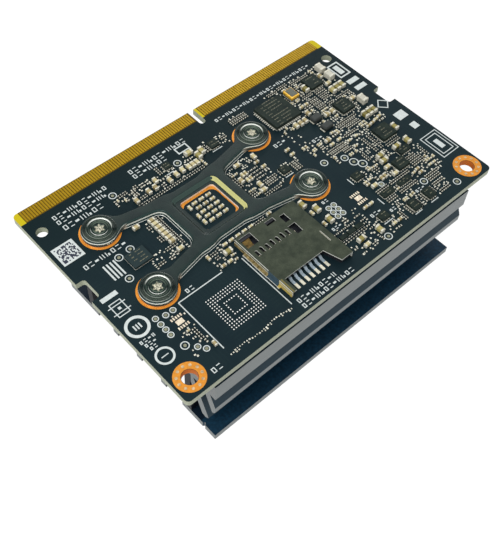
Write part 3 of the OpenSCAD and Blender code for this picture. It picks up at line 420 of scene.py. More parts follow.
# Dark coated sheet with a painted sheen mottle: tin marks its bare cut edge, mirror the ears' bright sides,
# and the pan's inner walls carry painted light by the way they face; sides facing front and left get painted
# light, and bends there a painted highlight
def makePlateFinish():
    look = plateLook
    f = Finish("backplateCoating", Specular_IOR_Level=0.2)
    mirror, cut, bend, wall = (f.mark(name) for name in ("mirror", "tin", "bend", "wall"))
    nx, ny, nz = f.facing()
    skin = f.mottle(look["mottle"], look["skin"], look["sheen"])
    # painted light on the pan's walls: pale yellow facing left, lighter facing front
    lit = (0 - nx > 0.25) * (abs(ny) < 0.5)
    dull = (0 - ny > 0.25) * (abs(nx) < 0.5)
    skin = f.blend(wall * dull * 0.8, skin, look["wallHalfLit"])
    skin = f.blend(wall * lit, skin, look["wallLit"])
    # painted light: sides facing front and left are lighter
    front = (nx + ny) * -look["steep"]
    skin = f.blend(front * (1 - wall), skin, look["lip"])
    # painted highlight along bends facing front and left, broken up by grain
    skin = f.blend(bend * front * f.grain(look["highlightBreakup"], 0.5), skin, look["bend"])
    skin = f.blend(mirror, skin, look["mirror"])
    f.feed(Base_Color=f.blend(cut, skin, look["cut"]), Metallic=cut * 0.3 + mirror * 0.95,
           Roughness=f.grain(*look["polish"]) * (1 - mirror * 0.6),
           Normal=f.bump(f.noise(look["bump"]), look["bumpDepth"], 0.5))
    return f


socketLook = {
    "shell": tone(50, 59, 47),
    "shellLit": tone(72, 80, 65),
    "crease": tone(34, 36, 28),
    "cut": tone(206, 208, 200),
    "brass": tone(178, 160, 112),
    "brassDark": tone(86, 76, 46),
    "olive": tone(92, 90, 58),
    "brassEnd": tone(196, 176, 96),
    "stripTone": tone(112, 106, 66),
    "gap": tone(66, 86, 98),
    "blotch": 1.4 * mm,
    "speck": 0.16 * mm,
    "brassGrain": 0.45 * mm,
    "rough": (0.5 * mm, 0.35, 0.5),
    "bump": (0.1 * mm, 0.004 * mm, 0.5),
    "line": 0.08 * mm,
    "seamDown": (0.42 * mm, 0.6 * mm),
    "wallAt": 0.45 * mm,
    "skinDepth": 0.02 * mm,
    "gapFrom": -16.2 * mm,
    "gapTo": -13.7 * mm,
    "stripFrom": 0.62 * mm,
    "stripTo": 0.95 * mm,
}


# Nickel silver sheet with dull blotches, bright where it is cut, and brass on its left wall
def makeShellFinish():
    look = socketLook
    f = Finish("socketSheet", Specular_IOR_Level=0.12)
    x, y, z = f.axes()
    nx, ny, nz = f.facing()
    low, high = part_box("socket_shell")
    wallX = low.x + look["wallAt"]
    line, depth = look["line"], look["skinDepth"]
    base = f.mottle(look["blotch"], look["shell"], look["shellLit"])
    base = f.blend(f.grain(look["speck"], 0, 0.4), base, look["crease"])
    outer = (x > high.x - depth).most(y > high.y - depth).most(z < boardTop + 0.2 * mm)
    wall = x < wallX + depth
    cut = (abs(nz) < 0.5) * (1 - wall) * (1 - outer)
    base = f.blend(cut, base, look["cut"])
    brass = f.mottle(look["brassGrain"], look["brassDark"], look["brass"])
    seamFrom, seamTo = [high.z - down for down in look["seamDown"]]
    brass = f.blend(z > seamFrom, brass, look["olive"])
    brass = f.blend(y < look["gapFrom"], brass, look["brassEnd"])
    brass = f.blend((z < seamFrom) * (z > seamTo), brass, look["cut"])
    gap = (y > look["gapFrom"]) * (y < look["gapTo"])
    brass = f.blend(gap, brass, look["gap"])
    strip = (x > low.x + look["stripFrom"]) * (x < low.x + look["stripTo"])
    base = f.blend(strip * (y < look["gapFrom"]), base, look["stripTone"])
    base = f.blend(wall, base, brass)
    top = z > high.z - line
    edge = (x < wallX + line) * top * (1 - gap)
    foot = (x < low.x + line) * (1 - top)
    f.feed(Base_Color=f.blend(edge.most(foot), base, look["cut"]))
    f.surface(look["rough"], look["bump"])
    return f


contactLook = {
    "tail": tone(232, 228, 206),
    # painted blue reflection where the contacts rise
    "rise": tone(160, 176, 186),
    "tip": tone(230, 222, 196),
    # painted shade under the shell, also the dark of the fine speckle
    "deep": tone(14, 16, 18),
    "riseFrom": -17.7 * mm,
    "deepFrom": -15.1 * mm,
    "spots": (0.3 * mm, 0.7),
    "rough": (0.4 * mm, 0.22, 0.34),
}


# Tinned contacts with a painted blue reflection where they rise, and painted shade under the shell save for
# the slopes up to their tips
def makeContactFinish():
    look = contactLook
    f = Finish("contactTin", Specular_IOR_Level=0.3, Metallic=0.2)
    x, y, z = f.axes()
    nx, ny, nz = f.facing()
    # painted blue reflection on the rising part
    colour = f.blend(y > look["riseFrom"], look["tail"], look["rise"])
    # painted shade under the shell, save for slopes facing front up to the tips
    slope = f.blend(ny < -0.2, look["deep"], look["tip"])
    colour = f.blend(y > look["deepFrom"], colour, slope)
    f.feed(Base_Color=f.blend(f.grain(*look["spots"]), look["deep"], colour),
           Roughness=f.grain(*look["rough"]))
    return f


packageLook = {
    "resin": tone(28, 38, 36),
    "resinLit": tone(42, 52, 46),
    "dull": tone(42, 56, 58),
    "dullUpTo": -15 * mm,
    "foot": 0.13 * mm,
    "mottle": 0.9 * mm,
    "rough": (0.3 * mm, 0.36, 0.5),
    "bump": (0.2 * mm, 0.004 * mm, 0.5),
}


# Dark chip resin, faintly mottled, above tinned feet
def makePackageFinish():
    look = packageLook
    f = Finish("packageResin", Specular_IOR_Level=0.05)
    x, y, z = f.axes()
    foot = z < boardTop + look["foot"]
    resin = f.mottle(look["mottle"], look["resin"], look["resinLit"])
    resin = f.blend(x < look["dullUpTo"], resin, look["dull"])
    f.feed(Base_Color=f.blend(foot, resin, chipLook["tin"]), Metallic=foot * 0.3)
    f.surface(look["rough"], look["bump"])
    return f


finishes = {
    "board": makeBoardFinish(),
    "heatsink": makeHeatsinkFinish(),
    "gold": plainFinish("contactGold", tone(146, 117, 19), 0.45, 0.9, change=0.1, lumps=0.002),
    "ring": plainFinish("ringPlating", tone(216, 140, 42), 0.42, 0.2, change=0.12, lumps=0.003),
    "via": plainFinish("viaTin", tone(196, 170, 130), 0.35, 0.4, change=0.3),
    "plate": makePlateFinish(),
    "screw": makeScrewFinish(),
    "green": plainFinish("packageLaminate", tone(40, 64, 44), 0.5),
    "black": makePackageFinish(),
    "chipPrint": plainFinish("chipPrint", tone(98, 98, 80), 0.5, grainSize=0.7, change=0.35, lumps=0),
    "gilt": plainFinish("crystalGilt", tone(226, 178, 62), 0.35, 0.3),
    "lid": plainFinish("crystalLid", tone(84, 88, 78), 0.4, 0.2),
    "pad": plainFinish("thermalPad", tone(150, 154, 158), 0.8),
    "shell": makeShellFinish(),
    "housing": plainFinish("socketResin", tone(30, 32, 38), 0.5),
    "tin": makeContactFinish(),
    "leaf": plainFinish("leafBrass", tone(112, 90, 42), 0.35, 0.3, change=0.5),
    "slider": plainFinish("sliderResin", tone(206, 202, 184), 0.5, change=0.05, lumps=0.002),
    "spring": plainFinish("springSteel", tone(170, 170, 172), 0.3, 0.9),
    "ferrite": makeChipFinish("inductorFerrite", [tone(40, 46, 44), tone(52, 56, 52)]),
    "cream": makeChipFinish("creamChips", [tone(150, 134, 92), tone(190, 176, 130), tone(206, 196, 152)]),
    "olive": makeChipFinish("oliveChips", [tone(112, 104, 48), tone(150, 140, 78), tone(190, 180, 124)]),
    "large": makeChipFinish("paleChips", [tone(186, 184, 168), tone(206, 204, 190)]),
    "film": makeChipFinish("filmChips", [tone(14, 20, 20), tone(30, 36, 34), tone(60, 58, 46)],
                           tone(250, 248, 234)),
    "peach": plainFinish("barePadCopper", tone(240, 220, 196), 0.4, 0.15, change=0.3),
    "copper": plainFinish("padFinish", tone(250, 248, 240), 0.4, 0.1, change=0.1),
    "probe": plainFinish("probePadTin", tone(132, 134, 112), 0.4, 0.3),
    "print": plainFinish("boardPrint", tone(206, 214, 212), 0.6, change=0.08, lumps=0),
    "ink": plainFinish("codeInk", tone(38, 44, 62), 0.6, change=0.1, lumps=0),
}

nodeFinishes = {
    "board": ["circuit_board"],
    "heatsink": ["heatsink"],
    "gold": ["upper_edge_contacts", "lower_edge_contacts"],
    "ring": ["fixing_hole_rings", "backplate_pad_rings", "window_pad_frame"],
    "via": ["ring_vias"],
    "green": ["processor_package"],
    "black": ["memory_chips", "network_controller", "logic_chips", "diode_arrays",
              "power_controllers"],
    "pad": ["processor_thermal_pad", "memory_thermal_pads"],
    "shell": ["socket_shell"],
    "housing": ["socket_housing"],
    "tin": ["socket_contacts"],
    "leaf": ["card_detect_leaf"],
    "slider": ["latch_slider"],
    "peach": ["unfitted_array_pads"],
    "probe": ["test_point_pads"],
    "print": ["test_point_rings", "printed_outlines", "printed_marks", "printed_lines", "code_label"],
}
for finishName, nodeNames in nodeFinishes.items():
    for nodeName in nodeNames:
        coat(nodeName, finishes[finishName])
print("finishes made:", len(finishes))


# The box of every separate solid in a CAD node, as pairs of lowest and highest corner
def islandsOf(nodeName):
    mesh = bmesh.new()
    mesh.from_mesh(nodes[nodeName].data)
    bmesh.ops.remove_doubles(mesh, verts=mesh.verts, dist=0.0005 * mm)
    left = set(mesh.verts)
    islands = []
    while left:
        front = [left.pop()]
        island = list(front)
        while front:
            for edge in front.pop().link_edges:
                for vert in edge.verts:
                    if vert in left:
                        left.discard(vert)
                        front.append(vert)
                        island.append(vert)
        low = Vector([min(v.co[i] for v in island) for i in range(3)])
        high = Vector([max(v.co[i] for v in island) for i in range(3)])
        islands.append((low, high))
    mesh.free()
    return sorted(islands, key=lambda box: (round(box[0].x, 5), round(box[0].y, 5)))


def meshObject(name, mesh, finish=None):
    data = bpy.data.meshes.new(name)
    mesh.to_mesh(data)
    mesh.free()
    if finish:
        data.materials.append(finish.material)
    piece = bpy.data.objects.new(name, data)
    bpy.context.collection.objects.link(piece)
    return piece


def addBox(mesh, low, high, bevel=0.0, tin=0.0):
    low, high = Vector(low), Vector(high)
    layer = mesh.faces.layers.float.get("tin") or mesh.faces.layers.float.new("tin")
    old = set(mesh.faces)
    made = bmesh.ops.create_cube(mesh, size=1)["verts"]
    bmesh.ops.scale(mesh, vec=high - low, verts=made)
    bmesh.ops.translate(mesh, vec=(low + high) / 2, verts=made)
    if bevel:
        edges = {e for v in made for e in v.link_edges}
        bmesh.ops.bevel(mesh, geom=list(edges), offset=bevel, segments=1, affect="EDGES")
    for face in mesh.faces:
        if face not in old:
            face[layer] = tin


# Number layers on a mesh's faces, which its finish reads
def addLayers(mesh, *names):
    for name in names:
        mesh.faces.layers.float.new(name)
    return [mesh.faces.layers.float[name] for name in names]


# An empty Geometry Nodes tree with named inputs and one result
def startTree(name, inputs, result):
    tree = bpy.data.node_groups.new(name, "GeometryNodeTree")
    for label, kind in inputs.items():
        tree.interface.new_socket(label, in_out="INPUT", socket_type="NodeSocket" + kind)
    tree.interface.new_socket(result, in_out="OUTPUT", socket_type="NodeSocketGeometry")
    return tree


# A node with its settings, and the fixed values of its sockets
def addNode(tree, kind, settings=None, values=None):
    node = tree.nodes.new(kind)
    for key, value in (settings or {}).items():
        setattr(node, key, value)
    for key, value in (values or {}).items():
        node.inputs[key].default_value = value
    return node


def joinNodes(tree, *links):
    for source, output, target, socket in links:
        tree.links.new(source.outputs[output], target.inputs[socket])


# A tree that sets one shape on every point, with the point's own size and turn, a little fixed
# wobble and a random shade for each copy
def makeScatterTree():
    tree = startTree("partScatter", {"Points": "Geometry", "Part": "Object", "Coating": "Material",
                                     "Wobble": "Float", "Seed": "Int"}, "Parts")
    given, out = addNode(tree, "NodeGroupInput"), addNode(tree, "NodeGroupOutput")
    source = addNode(tree, "GeometryNodeObjectInfo")
    turn, span = (addNode(tree, "GeometryNodeInputNamedAttribute", {"data_type": "FLOAT_VECTOR"},
                          {"Name": name}) for name in ("turn", "span"))
    spread = addNode(tree, "FunctionNodeRandomValue", {"data_type": "FLOAT_VECTOR"})
    low, high = addNode(tree, "ShaderNodeCombineXYZ"), addNode(tree, "ShaderNodeCombineXYZ")
    minus = addNode(tree, "ShaderNodeMath", {"operation": "MULTIPLY"}, {1: -1})
    total = addNode(tree, "ShaderNodeVectorMath")
    stand = addNode(tree, "GeometryNodeInstanceOnPoints")
    dice = addNode(tree, "FunctionNodeRandomValue")
    shade = addNode(tree, "GeometryNodeStoreNamedAttribute", {"data_type": "FLOAT", "domain": "INSTANCE"},
                    {"Name": "shade"})
    real = addNode(tree, "GeometryNodeRealizeInstances")
    paint = addNode(tree, "GeometryNodeSetMaterial")
    joinNodes(tree, (given, "Part", source, "Object"), (given, "Points", stand, "Points"),
              (source, "Geometry", stand, "Instance"), (given, "Wobble", minus, 0),
              (minus, 0, low, "Z"), (given, "Wobble", high, "Z"), (low, 0, spread, 0),
              (high, 0, spread, 1), (given, "Seed", spread, "Seed"), (given, "Seed", dice, "Seed"),
              (turn, 0, total, 0), (spread, 0, total, 1), (total, 0, stand, "Rotation"),
              (span, 0, stand, "Scale"), (stand, 0, shade, "Geometry"), (dice, 1, shade, "Value"),
              (shade, 0, real, "Geometry"), (real, 0, paint, "Geometry"),
              (given, "Coating", paint, "Material"), (paint, 0, out, "Parts"))
    return tree


scatterTree = makeScatterTree()


# Runs a tree on a mesh with named values and keeps what comes out as one plain mesh
def grow(name, host, tree, values):
    holder = bpy.data.objects.new(name + "Holder", host)
    bpy.context.collection.objects.link(holder)
    modifier = holder.modifiers.new(tree.name, "NODES")
    modifier.node_group = tree
    for item in tree.interface.items_tree:
        if item.in_out == "INPUT" and item.name in values:
            modifier[item.identifier] = values[item.name]
    view = bpy.context.evaluated_depsgraph_get()
    data = bpy.data.meshes.new_from_object(holder.evaluated_get(view), depsgraph=view)
    bpy.data.objects.remove(holder)
    piece = bpy.data.objects.new(name, data)
    bpy.context.collection.objects.link(piece)
    return piece


# Sets copies of a part on spots, each a place, a turn about Z and a size, as one plain mesh
def scatter(name, part, spots, finish, wobble=0.0, seed=0):
    host = bpy.data.meshes.new(name + "Spots")
    host.from_pydata([place for place, turn, span in spots], [], [])
    turns = host.attributes.new("turn", "FLOAT_VECTOR", "POINT")
    spans = host.attributes.new("span", "FLOAT_VECTOR", "POINT")
    for index, (place, turn, span) in enumerate(spots):
        turns.data[index].vector = (0, 0, turn)
        spans.data[index].vector = span
    values = {"Part": part, "Coating": finish.material, "Wobble": wobble, "Seed": seed}
    return grow(name, host, scatterTree, values)


# A piece of the module, joined to the module's body, with a material slot name that is not used, and the CAD
# nodes that it stands for, which are hidden
def settle(piece, slotName, *nodeNames):
    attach(piece, "module")
    if nodeNames:
        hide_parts(*nodeNames)


# Scatters a mesh that is only needed as the pattern of one piece
def scatterPart(name, mesh, spots, finish, slotName, *nodeNames, wobble=0.0, seed=0):
    part = meshObject(name + "Pattern", mesh)
    settle(scatter(name, part, spots, finishes[finish], wobble, seed), slotName, *nodeNames)
    bpy.data.objects.remove(part)


# A chip's sizes are shares of its box
chipShape = {
    "end": 0.24,
    "half": 0.46,
    "round": 0.05,
    "blockFoot": 0.02,
    "blockTop": 0.96,
    "lowTop": 0.85,
    "film": (0.27, 0.05, 0.04),
    "filmEnds": (0.9, 0.07),
    "fit": (0.98, 0.86),
    "wobble": 0.035,
    "chainBelow": -19.8 * mm,
}


# Tin on both ends of a chip that is one unit long
def addEnds(mesh, inner, height, bevel=0.0):
    addBox(mesh, (-0.5, -0.5, 0), (-inner, 0.5, height), bevel, tin=1.0)
    addBox(mesh, (inner, -0.5, 0), (0.5, 0.5, height), bevel, tin=1.0)


# A ceramic block with tin ends, one unit in each direction
def makeCapacitorPart(name, top):
    shape = chipShape
    mesh = bmesh.new()
    reach = 0.5 - shape["end"] * 0.8
    addBox(mesh, (-reach, -shape["half"], shape["blockFoot"]), (reach, shape["half"], top),
           shape["round"])
    addEnds(mesh, 0.5 - shape["end"], 1, shape["round"])
    return meshObject(name, mesh)


# A flat block whose film leaves bright tin at both ends
def makeResistorPart(name):
    shape = chipShape
    mesh = bmesh.new()
    reach, foot, bevel = shape["film"]
    addBox(mesh, (-reach, -shape["half"], foot), (reach, shape["half"], 1), bevel)
    addEnds(mesh, shape["end"], *shape["filmEnds"])
    return meshObject(name, mesh)


# Replaces every block of a CAD node by a detailed chip of the same size, its length set along
# the block's longer side. The front row of left_resistors is left to the chain of small pads
def makeChips(nodeName, part, finish, slotName, seed):
    spots = []
    for low, high in islandsOf(nodeName):
        if nodeName == "left_resistors" and high.y < chipShape["chainBelow"]:
            continue
        size = high - low
        turn = 0 if size.x >= size.y else math.pi / 2
        span = (max(size.x, size.y) * chipShape["fit"][0], min(size.x, size.y) * chipShape["fit"][1], size.z)
        spots.append((((low.x + high.x) / 2, (low.y + high.y) / 2, low.z), turn, span))
    words = nodeName.split("_")
    name = words[0] + "".join(w.capitalize() for w in words[1:]) + "Detail"
    settle(scatter(name, part, spots, finishes[finish], chipShape["wobble"], seed), slotName, nodeName)
    return len(spots)


capacitorPart = makeCapacitorPart("capacitorPart", chipShape["blockTop"])
lowCapacitorPart = makeCapacitorPart("lowCapacitorPart", chipShape["lowTop"])
resistorPart = makeResistorPart("resistorPart")
chipRows = [
    (["window_capacitors", "rear_capacitors", "left_capacitors", "centre_capacitors",
      "right_capacitors"], capacitorPart, "cream", "capacitor_tan"),
    (["bulk_capacitors"], lowCapacitorPart, "olive", "capacitor_olive"),
    (["output_capacitors"], capacitorPart, "large", "capacitor_tan"),
    (["rear_resistors", "left_resistors", "centre_resistors", "right_rear_resistors",
      "right_front_resistors"], resistorPart, "film", "resistor_body"),
]
chipCounts = []
for nodeNames, part, finish, slotName in chipRows:
    for nodeName in nodeNames:
        chipCounts.append(makeChips(nodeName, part, finish, slotName, len(chipCounts)))
for part in (capacitorPart, lowCapacitorPart, resistorPart):
    bpy.data.objects.remove(part)
print("chips made:", sum(chipCounts))


# Adds a strip of faces between two closed loops of points, and gives back the new faces
def bridge(mesh, first, second):
    pairs = zip(first, first[1:] + first[:1], second[1:] + second[:1], second)
    return [mesh.faces.new(corners) for corners in pairs]


screwShape = {
    "sides": 72,
    "points": 6,
    "starDip": 0.2,
    "starSharp": 0.4,
    "shank": (1.25, 0, -5.45),
    "profile": [(0.28, 1, -0.42), (0.52, 1, -0.42), (0.66, 1, -0.34), (0.74, 1, -0.2), (0.84, 0.8, -0.12),
                (1.0, 0, -0.14), (1.1, 0, -0.2), (1.22, 0, -0.2), (1.30, 0, -0.09), (1.42, 0, -0.07),
                (1.48, 0, -0.15), (1.54, 0, -0.15), (1.62, 0, -0.08), (1.78, 0, -0.1), (1.84, 0, -0.14),
                (1.90, 0, -0.13), (2.04, 0, -0.01), (2.12, 0, 0), (2.20, 0, -0.03), (2.28, 0, -0.22),
                (2.34, 0, -0.24), (2.42, 0, -0.17), (2.48, 0, -0.17), (2.54, 0, -0.25), (2.60, 0, -0.25),
                (2.68, 0, -0.18), (2.74, 0, -0.2), (2.80, 0, -0.33), (1.25, 0, -0.33)],
    "starRows": 3,
    # rows of painted highlight (above 0) and painted dark reflection (below 0)
    "rimRows": {9: 0.7, 15: 0.8, 16: 0.6, 17: 0.2, 18: -0.4, 19: -0.7, 20: -0.7, 21: -0.4, 22: -0.3,
                23: -0.8, 24: -0.8, 25: -0.5, 26: 0.15},
}


# One screw: rings of points about its axis, the inner ones pulled into a star. A row between two
# rings can carry a painted highlight, up to 1, or a painted dark reflection, down to -1
def addScrew(mesh, centre, top, star, rim):
    shape = screwShape
    count = shape["sides"]
    rings = []
    for radius, share, height in shape["profile"] + [shape["shank"]]:
        ring = []
        for i in range(count):
            turn = 2 * math.pi * i / count
            wave = math.cos(shape["points"] * turn)
            dip = shape["starDip"] * (wave - shape["starSharp"] * (1 - wave * wave))
            reach = radius * (1 + share * dip)
            ring.append(mesh.verts.new((centre.x + reach * mm * math.cos(turn),
                                        centre.y + reach * mm * math.sin(turn), top + height * mm)))
        rings.append(ring)
    mesh.faces.new(rings[0])[star] = 1.0
    for index, (inner, outer) in enumerate(zip(rings, rings[1:])):
        for face in bridge(mesh, inner, outer):
            face[star] = 1.0 if index < shape["starRows"] else 0.0
            face[rim] = shape["rimRows"].get(index, 0.0)
    mesh.faces.new(list(reversed(rings[-1])))


def smoothFaces(piece, degrees=35):
    piece.data.shade_smooth()
    piece.data.set_sharp_from_angle(angle=math.radians(degrees))


screwBoxes = islandsOf("backplate_screws")
earPlaces = [Vector(((low.x + high.x) / 2, (low.y + high.y) / 2)) for low, high in screwBoxes]
screwTop = max(high.z for low, high in screwBoxes)


def makeScrews():
    mesh = bmesh.new()
    star, rim = addLayers(mesh, "tin", "rim")
    for place in earPlaces:
        addScrew(mesh, place, screwTop, star, rim)
    bmesh.ops.recalc_face_normals(mesh, faces=mesh.faces)
    piece = meshObject("screwDetail", mesh, finishes["screw"])
    smoothFaces(piece)
    settle(piece, "screw_steel", "backplate_screws")


makeScrews()
print("screws made:", len(earPlaces))


# The plate's sizes in millimetres
plateShape = {
    "body": (-8.95, 2.8),
    "half": (6.6, 6.2),
    "cornerRound": 1.0,
    "armHalf": 1.15,
    "armAngle": 11,
    "armLength": 12,
    "earRadius": 3.2,
    "armBlend": 1.6,
    "earBlend": 1.5,
    "foot": 0.04,
    "height": 1.0,
    "lipFrom": 3.5,
    "lipTo": 4.6,
    "step": 0.25,
    "probe": 0.01,
    "skirt": [(-0.22, 0.0), (-0.22, 0.07), (-0.18, 0.11), (-0.02, 0.17), (0.03, 0.3), (0.06, 0.6),
              (0.09, 0.8), (0.15, 0.93), (0.25, 0.985), (0.4, 1.0)],
    "cutRow": 1,
    "bendRow": 6,
    "lineRow": 4,
    "holeRadius": 1.45,
    "holeSides": 24,
    "grid": 0.9,
    "gridMargin": 0.25,
    "rim": [(0.30, 1.0), (0.12, 0.985), (0.0, 0.93), (-0.1, 0.8), (-0.3, 0.56), (-0.45, 0.46),
            (-0.62, 0.44)],
    "rimHalf": 4.7,
    "rimRound": 1.1,
    "windowHalf": 3.65,
    "windowRound": 0.7,
    "windowFoot": 0.05,
    "thick": 0.3,
}


# Joins two distances with a round blend of a given reach
def blendDistance(first, second, reach):
    share = max(reach - abs(first - second), 0) / reach
    return min(first, second) - share * share * reach / 4


# The distance from the backplate's outline, in millimetres and negative inside it
def plateField(point):
    shape = plateShape
    away = [abs(point[i] - shape["body"][i]) - shape["half"][i] + shape["cornerRound"] for i in (0, 1)]
    result = (math.hypot(max(away[0], 0), max(away[1], 0)) + min(max(away), 0) - shape["cornerRound"])
    angle = math.radians(shape["armAngle"])
    for ear in earPlaces:
        ex, ey = ear.x / mm, ear.y / mm
        toX = -math.copysign(math.cos(angle), ex - shape["body"][0])
        toY = -math.copysign(math.sin(angle), ey - shape["body"][1])
        dx, dy = point[0] - ex, point[1] - ey
        along = min(max(dx * toX + dy * toY, 0), shape["armLength"])
        arm = math.hypot(dx - along * toX, dy - along * toY) - shape["armHalf"]
        result = blendDistance(result, arm, shape["armBlend"])
    for ear in earPlaces:
        earRound = math.hypot(point[0] - ear.x / mm, point[1] - ear.y / mm) - shape["earRadius"]
        result = blendDistance(result, earRound, shape["earBlend"])
    return result


# How far a point is from the nearest ear's middle, in millimetres
def earDistance(point):
    return min(math.hypot(point[0] - ear.x / mm, point[1] - ear.y / mm) for ear in earPlaces)


def plateSlope(point):
    x, y = point
    reach = plateShape["probe"]
    slope = Vector((plateField((x + reach, y)) - plateField((x - reach, y)),
                    plateField((x, y + reach)) - plateField((x, y - reach))))
    return slope.normalized()


# 0 round an ear and 1 where its arm has a full lip
def armShare(point):
    shape = plateShape
    share = (earDistance(point) - shape["lipFrom"]) / (shape["lipTo"] - shape["lipFrom"])
    share = min(max(share, 0), 1)
    return share * share * (3 - 2 * share)


# Walks once round the outline in even steps
def traceOutline():
    point = Vector((plateShape["body"][0], plateShape["body"][1] - plateShape["half"][1]))
    points = []
    while len(points) < 20 or (point - points[0]).length > plateShape["step"] * 0.9:
        points.append(point.copy())
        slope = plateSlope(point)
        point = point + Vector((-slope.y, slope.x)) * plateShape["step"]
        for attempt in range(2):
            point = point - plateSlope(point) * plateField(point)
    return points


# Points round a square with round corners, from the middle of its right side
def roundedSquare(half, corner, sideCount=10, cornerCount=6):
    points = []
    for quarter in range(4):
        turn = Matrix.Rotation(quarter * math.pi / 2, 2)
        for i in range(sideCount):
            points.append(turn @ Vector((half, (half - corner) * (2 * i / sideCount - 1))))
        for i in range(cornerCount):
            angle = i / cornerCount * math.pi / 2
            points.append(turn @ Vector((half - corner + corner * math.cos(angle),
                                         half - corner + corner * math.sin(angle))))
    return points


# True inside a round-cornered square about the middle of the plate
def isInSquare(point, half, corner):
    away = [abs(point[i] - plateShape["body"][i]) for i in (0, 1)]
    past = [max(a - half + corner, 0) for a in away]
    return max(away) < half and math.hypot(*past) < corner


def makeBackplate():
    shape = plateShape
    mesh = bmesh.new()
    tin, wall, bend, mirror = addLayers(mesh, "tin", "wall", "bend", "mirror")
    centre = Vector(shape["body"])

    def put(x, y, height):
        return mesh.verts.new((x * mm, y * mm, boardTop + height * mm))

    outline = traceOutline()
    slopes = [plateSlope(p) for p in outline]
    shares = [armShare(p) for p in outline]
    rows = []
    for inset, rise in shape["skirt"]:
        places = [p - s * (inset if inset > 0 else inset * share)
                  for p, s, share in zip(outline, slopes, shares)]
        height = shape["foot"] + (shape["height"] - shape["foot"]) * rise
        rows.append([put(p.x, p.y, height) for p in places])
    for index, (lower, upper) in enumerate(zip(rows, rows[1:])):
        for face, share in zip(bridge(mesh, lower, upper), shares):
            # rows that carry the painted bend highlight
            face[bend] = {shape["bendRow"]: 1 - share, shape["lineRow"]: share}.get(index, 0.0)
            face[tin] = share if index == shape["cutRow"] else 0.0
            face[mirror] = 1 - share if index < shape["bendRow"] else 0.0

    rimHalf, rimRound, rimTop = shape["rimHalf"], shape["rimRound"], shape["rim"][0][0]
    squares = [(rimHalf + out, rimRound + out, height) for out, height in shape["rim"]]
    squares += [(shape["windowHalf"], shape["windowRound"], height)
                for height in (shape["rim"][-1][1], shape["windowFoot"])]
    rimRows = [[put(*(centre + p), height) for p in roundedSquare(half, corner)]
               for half, corner, height in squares]
    for index, (outer, inner) in enumerate(zip(rimRows, rimRows[1:])):
        for face in bridge(mesh, inner, outer):
            face[tin] = 1.0 if index == len(rimRows) - 2 else 0.0
            face[wall] = 1.0 if index < len(rimRows) - 3 else 0.0

    turns = [2 * math.pi * i / shape["holeSides"] for i in range(shape["holeSides"])]
    holes = [[put(ear.x / mm + shape["holeRadius"] * math.cos(turn),
                  ear.y / mm + shape["holeRadius"] * math.sin(turn), shape["height"]) for turn in turns]
             for ear in earPlaces]
    flat, edges = [], []
    for loop in [rows[-1], rimRows[0]] + holes:
        first = len(flat)
        edges += [(first + i, first + (i + 1) % len(loop)) for i in range(len(loop))]
        flat += loop
    inner = shape["skirt"][-1][0]

    def isFlat(point, margin):
        away = max(abs(point[i] - centre[i]) for i in (0, 1))
        return (plateField(point) <= -inner - margin and away >= rimHalf + rimTop + margin
                and earDistance(point) >= shape["holeRadius"] + margin)

    low, high = [[pick(p[i] for p in outline) for i in (0, 1)] for pick in (min, max)]
    step = shape["grid"]
    for i in range(int((high[0] - low[0]) / step)):
        for j in range(int((high[1] - low[1]) / step)):
            place = (low[0] + (i + 0.5) * step, low[1] + (j + 0.5) * step)
            if isFlat(place, shape["gridMargin"]):
                flat.append(put(*place, shape["height"]))
    spots = [Vector((v.co.x / mm, v.co.y / mm)) for v in flat]
    found = geometry.delaunay_2d_cdt(spots, edges, [], 0, 1e-5)
    newSpots, triangles, origins = found[0], found[2], found[3]
    for triangle in triangles:
        middle = sum((newSpots[i] for i in triangle), Vector((0, 0))) / 3
        off = plateField(middle) > -inner or earDistance(middle) < shape["holeRadius"]
        if off or isInSquare(middle, rimHalf + rimTop, rimRound + rimTop):
            continue
        mesh.faces.new([flat[origins[i][0]] for i in triangle])
    bmesh.ops.recalc_face_normals(mesh, faces=mesh.faces)
    if max(mesh.faces, key=lambda face: face.calc_center_median().z).normal.z < 0:
        bmesh.ops.reverse_faces(mesh, faces=mesh.faces)
    piece = meshObject("backplateDetail", mesh, finishes["plate"])
    modifier = piece.modifiers.new("thickness", "SOLIDIFY")
    modifier.thickness = shape["thick"] * mm
    modifier.offset = -1
    modifier.use_even_offset = False
    view = bpy.context.evaluated_depsgraph_get()
    piece.data = bpy.data.meshes.new_from_object(piece.evaluated_get(view), depsgraph=view)
    piece.modifiers.clear()
    smoothFaces(piece, 40)
    settle(piece, "backplate_steel", "backplate")
    return len(outline)


print("backplate outline points:", makeBackplate())


# Keeps the ground plan of what stands on the board, in tenths of a millimetre
class GroundPlan:
    def __init__(self):
        self.taken = set()

    def cells(self, lowX, lowY, highX, highY):
        for i in range(math.floor(lowX / mm * 10), math.ceil(highX / mm * 10)):
            for j in range(math.floor(lowY / mm * 10), math.ceil(highY / mm * 10)):
                yield i, j

    def take(self, *corners):
        self.taken.update(self.cells(*corners))

    def isFree(self, *corners):
        return not any(cell in self.taken for cell in self.cells(*corners))


